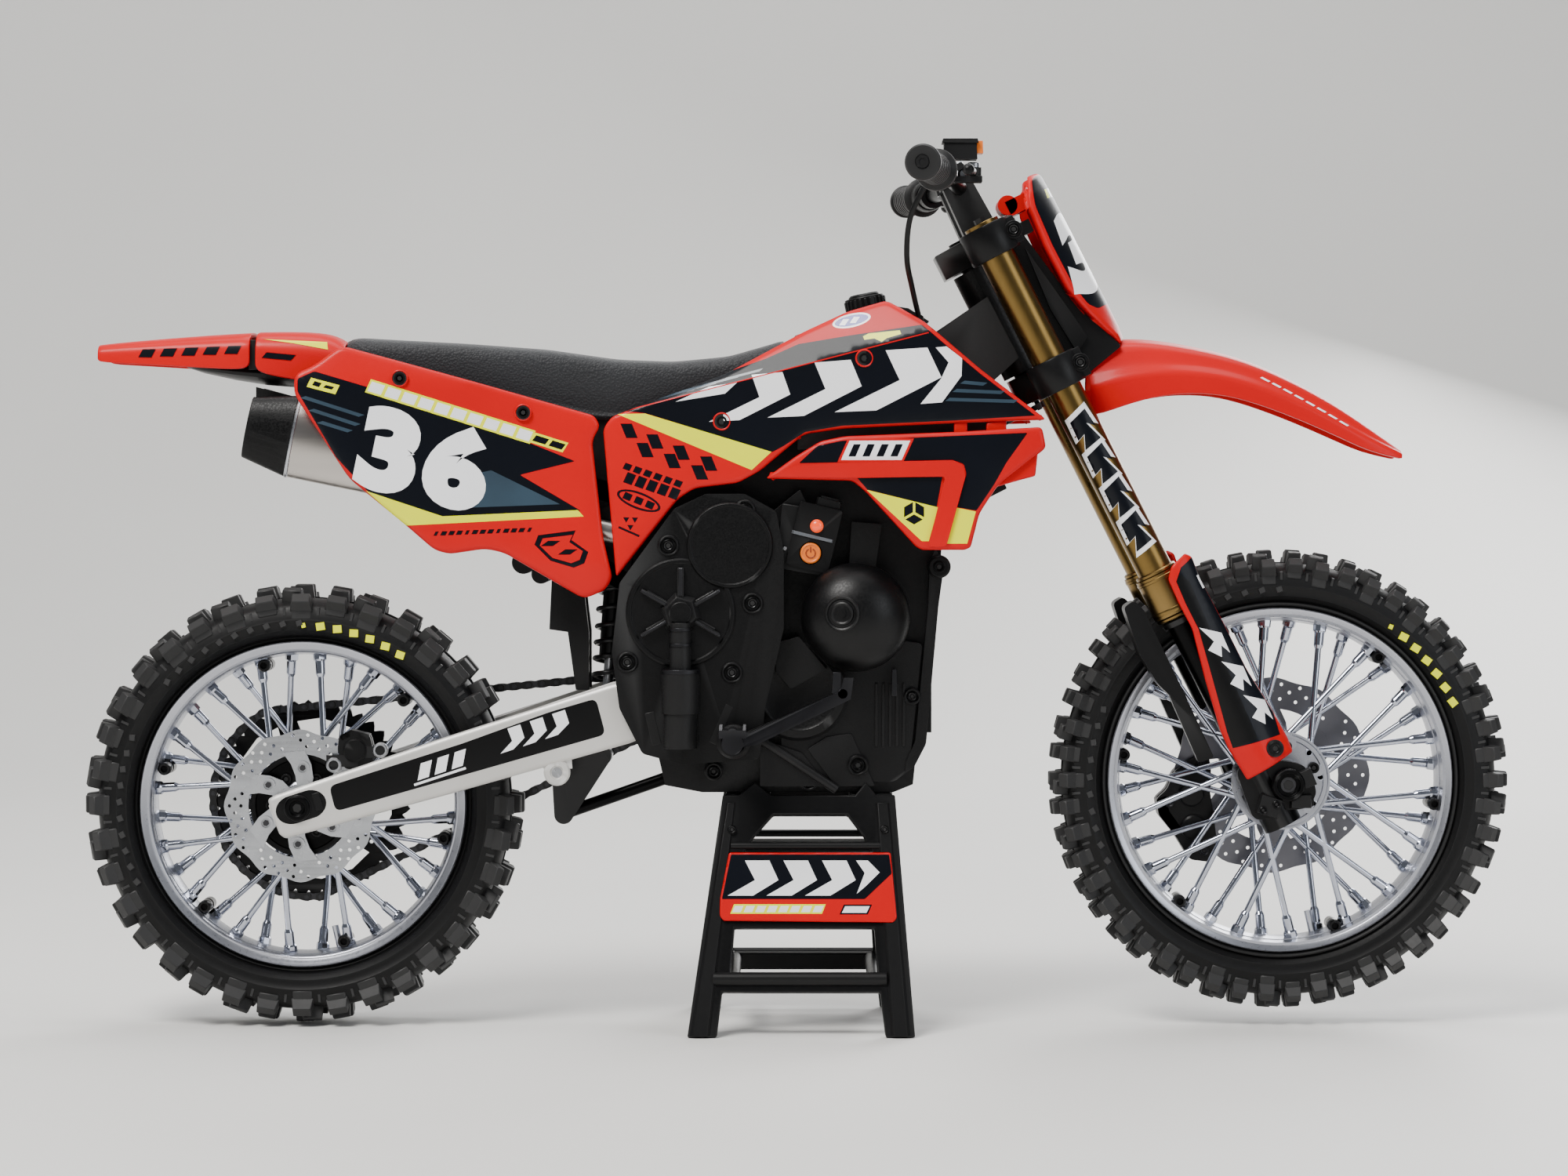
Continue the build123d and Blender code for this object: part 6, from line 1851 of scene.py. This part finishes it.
def build_calipers():
    """Brake calipers astride the discs, with pistons, pins and bolts."""
    bm = bmesh.new()
    front_edge = rounded([(145.8, 95), (152, 100), (159, 102.6), (160.2, 96), (159.6, 88.3),
                          (161, 79.5), (163, 64), (160.6, 60), (152.1, 61), (146.2, 70.6), (140, 78.2),
                          (139, 84.5), (143.2, 88.3)], 1.6)
    plate(bm, front_edge, 12.4, 15.6, 0)
    plate(bm, front_edge, 17.9, 24, 0)
    bridge = rounded([(139, 84.5), (140, 78.2), (146.2, 70.6), (149, 73), (144, 80), (143, 86)], 0.8)
    plate(bm, bridge, 12.4, 24, 0)
    for x, z, size in ((152.5, 86.5, 5), (153.5, 73.5, 5)):
        spot = Vector((x, 12.6, z))
        lathe(bm, [(0, 0), (size, 0), (size, 1.4), (size - 0.8, 2), (0, 2)], spot, -ACROSS, 32, 0)
    for x, z in ((156.2, 98.2), (157.5, 64.5), (144, 83)):
        socket_screw(bm, Vector((x, 12.6, z)), -ACROSS, 1.8, 1.2, 1, 2)
        socket_screw(bm, Vector((x, 23.8, z)), ACROSS, 1.8, 1.2, 1, 2)
    finish("front_caliper_body", bm, [black, dark_steel, recess_shade], "fork_lower",
           replaces=("front_caliper",), bevel=0.5)

    bm = bmesh.new()
    rear_edge = rounded([(-173.6, 105), (-173, 111), (-168.5, 113.4), (-161.5, 111.6), (-159.6, 104),
                         (-162, 98), (-171, 98.6)], 1.8)
    plate(bm, rear_edge, -18.9, -21.4, 0)
    plate(bm, rear_edge, -13.6, -16.6, 0)
    top = rounded([(-173, 111), (-168.5, 113.4), (-161.5, 111.6), (-162, 109.4), (-168.3, 111),
                   (-171.6, 109.2)], 0.4)
    plate(bm, top, -13.6, -21.4, 0)
    lathe(bm, [(0, 0), (4.4, 0), (4.4, 1), (3.8, 1.6), (0, 1.6)], Vector((-167, -21, 105.6)), -ACROSS,
          32, 0)
    for x, z in ((-175, 100), (-157.4, 105.6)):
        spot = Vector((x, -19, z))
        arm = spot.lerp(Vector((-167, -19, 104)), 0.4) - ACROSS * 1.6
        block(bm, arm, (ALONG, UPWARD, ACROSS), (12, 4.4, 2), 0.9, 0)
        lathe(bm, [(1.6, 0), (2.9, 0), (2.9, 2.6), (2.5, 3), (1.9, 3), (1.6, 2.4)], spot, -ACROSS, 28,
              3, closed=True)
        # The bore of each ring, filled with painted shade.
        rod(bm, spot, spot - ACROSS * 2.2, 1.6, 1.6, 20, 2)
    finish("rear_caliper_body", bm, [black, dark_steel, recess_shade, steel], "swingarm_body",
           replaces=("rear_caliper",), bevel=0.3)


build_calipers()


def build_bumpers():
    """Round crash bumpers, each with a ringed screw set in its crown."""
    centre = middle_of("crash_bumpers")
    bm = bmesh.new()
    for side in SIDES:
        outward = ACROSS * side
        profile = [(0, 18.2), (5.2, 18.2), (5.2, 27), (19.2, 27.6), (20.2, 28.4), (20.5, 30)]
        for step in range(1, 15):
            angle = pi / 2 * step / 14
            profile.append((20.5 * cos(angle) ** 0.86, 30.6 + 14.8 * sin(angle) ** 1.1))
        profile[-1] = (0, 45.4)
        lathe(bm, profile, Vector((centre.x, 0, centre.z)), outward, 72, 0)
        tilt = Vector((-0.22, side, 0.07)).normalized()
        crown = Vector((centre.x - 5.2, side * 44.4, centre.z + 1.8))
        lathe(bm, [(6.6, -1), (6.6, 0.35), (6.1, 0.85), (5.5, 0.6), (5.2, -0.2), (4.6, -0.2),
                   (4.3, 0.55), (3.8, 0.8), (3.2, 0.5), (3, -0.3), (0, -0.3), (0, -1)], crown, tilt,
              48, 0)
        socket_screw(bm, crown - tilt * 0.2, tilt, 2.4, 0.7, 1, 2)
    finish("bumper_domes", bm, [dome_rubber, black_metal, recess_shade], "chassis",
           replaces=("crash_bumpers",), smooth=38)


build_bumpers()


# ==== swingarm =================================================================
def arm_prints():
    """The dark inlay with its pale marks, and the slot round the axle."""
    inlay = rounded([(-176, 92.6), (-173.6, 83), (-72, 112), (-75.6, 125.6), (-93.3, 120.4),
                     (-126, 108.6)], 2.6)
    out = []
    mark(out, inlay, 1)
    for bar in range(3):
        mark(out, leaning_box(-140 + bar * 6.4, 98.6 + bar * 2.1, 4.2, 6.4, 0.6, -0.7), 2)
    mark(out, stripe((-144, 93), (-124.6, 99.4), 0.9), 2)
    for bar in range(3):
        x, z = -107.5 + bar * 8.4, 109.4 + bar * 2.75
        mark(out, [(x - 4, z - 4.6), (x + 0.8, z - 3), (x + 5, z + 1.4), (x + 3.4, z + 6.4),
                   (x - 1.4, z + 4.8), (x + 0.4, z + 0.2)], 2)
    slot = []
    for angle in round_angles(28):
        x = 6.6 * cos(angle) + (3.4 if cos(angle) > 0 else -3)
        z = 5.4 * sin(angle)
        slot.append((-186.8 + x * cos(0.3) - z * sin(0.3), 84.6 + x * sin(0.3) + z * cos(0.3)))
    mark(out, slot, 1)
    return out


def build_swingarm():
    """The arm's outer faces, their inlays, axle bolts and the linkage lug."""
    outline = rounded([(-55, 134), (-69.7, 131), (-133, 110.8), (-196.8, 89), (-199.4, 87.4),
                       (-195, 74.2), (-192.6, 72.6), (-128, 90.2), (-62, 108.9), (-55, 112.4)], 2.4)
    for side in SIDES:
        panel("swingarm_face_" + LABEL[side], outline, lambda _x, _z: 28, side, "swingarm_body",
              [arm_metal, black, white], "swingarm_metal", arm_prints(), thick=1.8, drop=1.4,
              fillet=2.4, step=5.0)
        bm = bmesh.new()
        outward = ACROSS * side
        axle = Vector((rear_centre.x, side * 27.4, rear_centre.z))
        lathe(bm, [(0, 0), (4.9, 0), (4.9, 1.4), (4.3, 2), (3, 2), (2.7, 1.2), (0, 1.2)], axle,
              outward, 40, 0)
        # The bolt's socket: a hex plug of painted shade.
        rod(bm, axle + outward * 1, axle + outward * 1.35, 1.8, sides=6, material=1)
        block(bm, axle + Vector((7.6, 0, 2.4)) + outward * 0.2, (Vector((cos(0.3), 0, sin(0.3))),
                                                                 Vector((-sin(0.3), 0, cos(0.3))),
                                                                 outward), (3.2, 7.4, 1.6), 0.9, 0)
        finish("rear_axle_bolt_" + LABEL[side], bm, [black_metal, recess_shade], "swingarm_body",
               bevel=0.25)
    bm = bmesh.new()
    lug = Vector((-90.4, -24, 97.6))
    lathe(bm, [(2, 0), (5, 0), (5, 2.6), (4.4, 3.2), (2.6, 3.2), (2.3, 2.6), (2, 2.6)], lug, -ACROSS,
          40, 0, closed=True)
    lathe(bm, [(0, 0), (2, 0), (2, 2.4), (0, 2.4)], lug, -ACROSS, 30, 1)
    block(bm, lug + Vector((1.5, -1, 4.5)), UPRIGHT, (8.5, 2.4, 6), 0.9, 0)
    finish("swingarm_lug", bm, [arm_metal, steel], "swingarm_body", bevel=0.3)


build_swingarm()


# ==== stand ====================================================================
def stand_face(z):
    """How far the stand's leaning face is from the middle plane."""
    return 45 - 22 * z / 89


def stand_prints():
    """Pale slanting bars on the dark field, a red band below and small marks."""
    out = []
    mark(out, rounded([(-28.2, 50.6), (-24.8, 67), (34.6, 67), (35.6, 60), (25.4, 50.6)], 0.5), 1)
    for bar in range(3):
        x = -21 + bar * 14.5
        mark(out, [(x - 5, 51.9), (x + 4.5, 51.9), (x + 14, 57.6), (x + 10.6, 64.8), (x + 1.4, 64.8),
                   (x + 5.2, 57.6)], 3)
    mark(out, [(22.4, 52.6), (25.8, 55.4), (31, 60.4), (26.6, 64.8), (22.2, 64.8), (25.4, 60.2)], 3)
    for bar in range(8):
        mark(out, leaning_box(-22.2 + bar * 4.3, 47, 4.3, 3.5, 0.7), 2)
        mark(out, leaning_box(-22.2 + bar * 4.3, 47, 3.2, 2.3, 0.5), 3)
    mark(out, leaning_box(22, 46.8, 10.6, 3.6, 0.8), 1)
    mark(out, leaning_box(22, 46.8, 9.2, 2.4, 0.6), 3)
    return out


def build_stand():
    """Labels, round rungs, raised leg faces and bolts on the stand."""
    label_edge = rounded([(-25.6, 67.7), (35.2, 67.7), (37.4, 43.6), (36, 42), (-27.6, 42.6),
                          (-29, 44.4), (-28.9, 50.6)], 0.9)
    for side in SIDES:

        panel("stand_label_" + LABEL[side], label_edge, lambda _x, z: stand_face(z) + 1.5, side,
              "stand", [red, navy, yellow, white], "black_composite", stand_prints(), thick=1.6,
              drop=0.4, fillet=0.8, pillow=0.0, step=6.0)
        bm = bmesh.new()
        for z, radius, x_from, x_to in ((21.2, 2.6, -31.5, 33.5), (70, 1.4, -25, 33.5)):
            rod(bm, Vector((x_from, side * (stand_face(z) - 0.6), z)),
                Vector((x_to, side * (stand_face(z) - 0.6), z)), radius, radius, 28, 0)
        for foot_from, foot_to, top_from, top_to in ((-41, -31, -27.6, -22), (34, 43.6, 28.6, 36)):
            ridge = [(foot_from + 1, 0.6), (foot_to - 1.4, 0.6), (top_to - 1.2, 86), (top_from + 1, 86)]
            rings = []
            for share, lift in ((0, 0), (0.16, 1), (0.84, 1), (1, 0)):
                ring = []
                for end in (0, 1):
                    low, high = (ridge[0], ridge[1]) if end == 0 else (ridge[3], ridge[2])
                    x = low[0] + (high[0] - low[0]) * share
                    z = low[1]
                    ring.append(Vector((x, side * (stand_face(z) + lift), z)))
                for end in (1, 0):
                    low, high = (ridge[0], ridge[1]) if end == 0 else (ridge[3], ridge[2])
                    x = low[0] + (high[0] - low[0]) * share
                    z = low[1]
                    ring.append(Vector((x, side * (stand_face(z) - 0.6), z)))
                rings.append(ring)
            stitch(bm, rings, 0)
        for x in (-24.5, 33):
            spot = Vector((x, side * (stand_face(76) + 0.6), 76))
            socket_screw(bm, spot, Vector((0, side * 4, 1)), 1.7, 0.8, 1, 2)
        finish("stand_trim_" + LABEL[side], bm, [black, black_metal, recess_shade], "stand",
               bevel=0.5)


build_stand()


# ==== exhaust, spring, pegs ====================================================
def build_muffler_trim():
    """The can's end bead and its hanger strap."""
    bm = bmesh.new()
    front, back = Vector((-120, -22.6, 209.8)), Vector((-190, -24.8, 224.2))
    run = (back - front).normalized()
    up = (UPWARD - run * UPWARD.dot(run)).normalized()
    across = run.cross(up)

    def hoop(at, wide, grow, material):
        """An oval band round the can."""
        rings = []
        for offset, extra in ((-wide / 2, -0.6), (-wide / 2, 0), (-wide / 2 + 0.3, grow),
                              (wide / 2 - 0.3, grow), (wide / 2, 0), (wide / 2, -0.6),
                              (-wide / 2, -0.6)):
            ring = []
            for angle in round_angles(56):
                ring.append(at + run * offset + across * (6.9 + extra) * cos(angle)
                            + up * (15.5 + extra) * sin(angle))
            rings.append(ring)
        stitch(bm, rings, material, caps=False)

    hoop(back - run * 0.7, 1.4, 0.35, 1)
    hoop(front + run * 26, 5, 0.5, 0)
    finish("muffler_trim", bm, [black_metal, steel], "chassis", smooth=40)


build_muffler_trim()


def build_spring():
    """The shock's coil."""
    foot, top = Vector((-74.3, 0, 102.6)), Vector((-68, 0, 190))
    run = (top - foot).normalized()
    low, high = foot + run * 12.6, top - run * 17.9
    side_way = ACROSS.cross(run).normalized()
    turns = 8.5
    route = []
    for step in range(int(turns * 22) + 1):
        share = step / (turns * 22)
        angle = 2 * pi * turns * share
        eased = share + 0.016 * sin(2 * pi * share)
        route.append(low + (high - low) * eased + (side_way * cos(angle) + ACROSS * sin(angle)) * 5.7)
    bm = bmesh.new()
    tube(bm, route, 0.95, 10, 0)
    coil = finish("shock_coil", bm, [spring_paint], "", replaces=("shock_spring",),
                  smooth=60)
    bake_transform(coil)


build_spring()


def build_peg_teeth():
    """Saw teeth and a core bar along each foot peg."""
    bm = bmesh.new()
    for side in SIDES:
        for edge_x in (-28.4, -19.6):
            for tooth in range(5):
                y = side * (37.8 + tooth * 3.1)
                outline = [(-1.2, 0), (1.2, 0), (0, 2)]
                ring = [Vector((edge_x - 0.5, y + a, 114.4 + b)) for a, b in outline]
                far = [point + ALONG for point in ring]
                stitch(bm, [ring, far], 0)
        rod(bm, (-24, side * 36.6, 113.5), (-24, side * 51.6, 113.5), 2.2, 2.2, 20, 0)
    finish("foot_peg_teeth", bm, [dark_steel], "chassis", smooth=30)


build_peg_teeth()


def build_tank_cap():
    """The knurled filler cap."""
    bm = bmesh.new()
    base, top = Vector((27.8, 0, 267)), Vector((25.7, 0, 277.6))
    run = (top - base).normalized()
    lathe(bm, [(0, 8.2), (6, 8.2), (6, 11.3), (5.2, 12), (0, 12.2)], base, run, 40, 0)
    away = run.cross(ACROSS)
    for angle in round_angles(24):
        out = ACROSS * cos(angle) + away * sin(angle)
        block(bm, base + run * 8.2 + out * 7.55, (run, out.cross(run), out), (4.2, 1, 0.9), 0.8, 0)
    finish("tank_cap_knurl", bm, [black], "chassis", bevel=0.15)


build_tank_cap()

# ==== camera, floor and light ==================================================
PICTURE_CENTRE = Vector((-4.9, 0, 166.4)) * MM
CAMERA_BACK, CAMERA_RISE = 1.5, 0.039
camera_data = bpy.data.cameras.new("camera")
camera_data.lens = 90
camera_data.sensor_width = 36
camera = bpy.data.objects.new("camera", camera_data)
camera.location = PICTURE_CENTRE + Vector((0, -CAMERA_BACK, CAMERA_RISE))
camera.rotation_euler = (PICTURE_CENTRE - camera.location).to_track_quat("-Z", "Y").to_euler()
bpy.context.scene.collection.objects.link(camera)
bpy.context.scene.camera = camera


def build_floor():
    """A pale floor that curves up into a backdrop."""
    profile = [(-3, 0), (1.1, 0)]
    profile += [(1.1 + 0.9 * sin(a), 0.9 - 0.9 * cos(a)) for a in [pi / 2 * n / 14
                                                                   for n in range(1, 15)]]
    profile.append((2, 3.2))
    bm = bmesh.new()
    rings = [[Vector((x, y, z - 0.0003)) for y, z in profile] for x in (-3.4, 3.4)]
    stitch(bm, rings, 0, wrap=False, caps=False)
    mesh = bpy.data.meshes.new("studio_floor")
    bm.to_mesh(mesh)
    bm.free()
    mesh.polygons.foreach_set("use_smooth", [True] * len(mesh.polygons))
    mesh.materials.append(make_material("studio_floor_finish", linear(226, 225, 222), 0.62, shade=0.04,
                                        patch=2.2, grain=240, bump=0.04))
    floor = bpy.data.objects.new("studio_floor", mesh)
    bpy.context.scene.collection.objects.link(floor)


def add_light(name, place, aim_at, wide, high, power, tint):
    """A rectangular studio lamp aimed at a point."""
    data = bpy.data.lights.new(name, "AREA")
    data.shape = "RECTANGLE"
    data.size, data.size_y = wide, high
    data.energy = power
    data.color = tint
    lamp_object = bpy.data.objects.new(name, data)
    lamp_object.location = place
    lamp_object.rotation_euler = (Vector(aim_at) - Vector(place)).to_track_quat("-Z", "Y").to_euler()
    bpy.context.scene.collection.objects.link(lamp_object)


build_floor()
add_light("key", (-0.8, -1.15, 1.9), (0, 0, 0.15), 0.9, 0.8, 66, (1, 0.98, 0.95))
add_light("fill", (1.7, -1.5, 0.9), (0.05, 0, 0.15), 1.1, 1.3, 15, (0.93, 0.96, 1))
add_light("top", (0.1, 0.2, 1.9), (0, 0, 0.1), 1.6, 0.9, 24, (1, 1, 1))
add_light("rim", (0.7, 1.4, 0.9), (0.05, 0, 0.2), 0.7, 1.2, 20, (1, 1, 1))

world = bpy.data.worlds.new("studio_world")
world.use_nodes = True
world.node_tree.nodes["Background"].inputs["Color"].default_value = (0.82, 0.86, 0.92, 1)
world.node_tree.nodes["Background"].inputs["Strength"].default_value = 0.2
bpy.context.scene.world = world
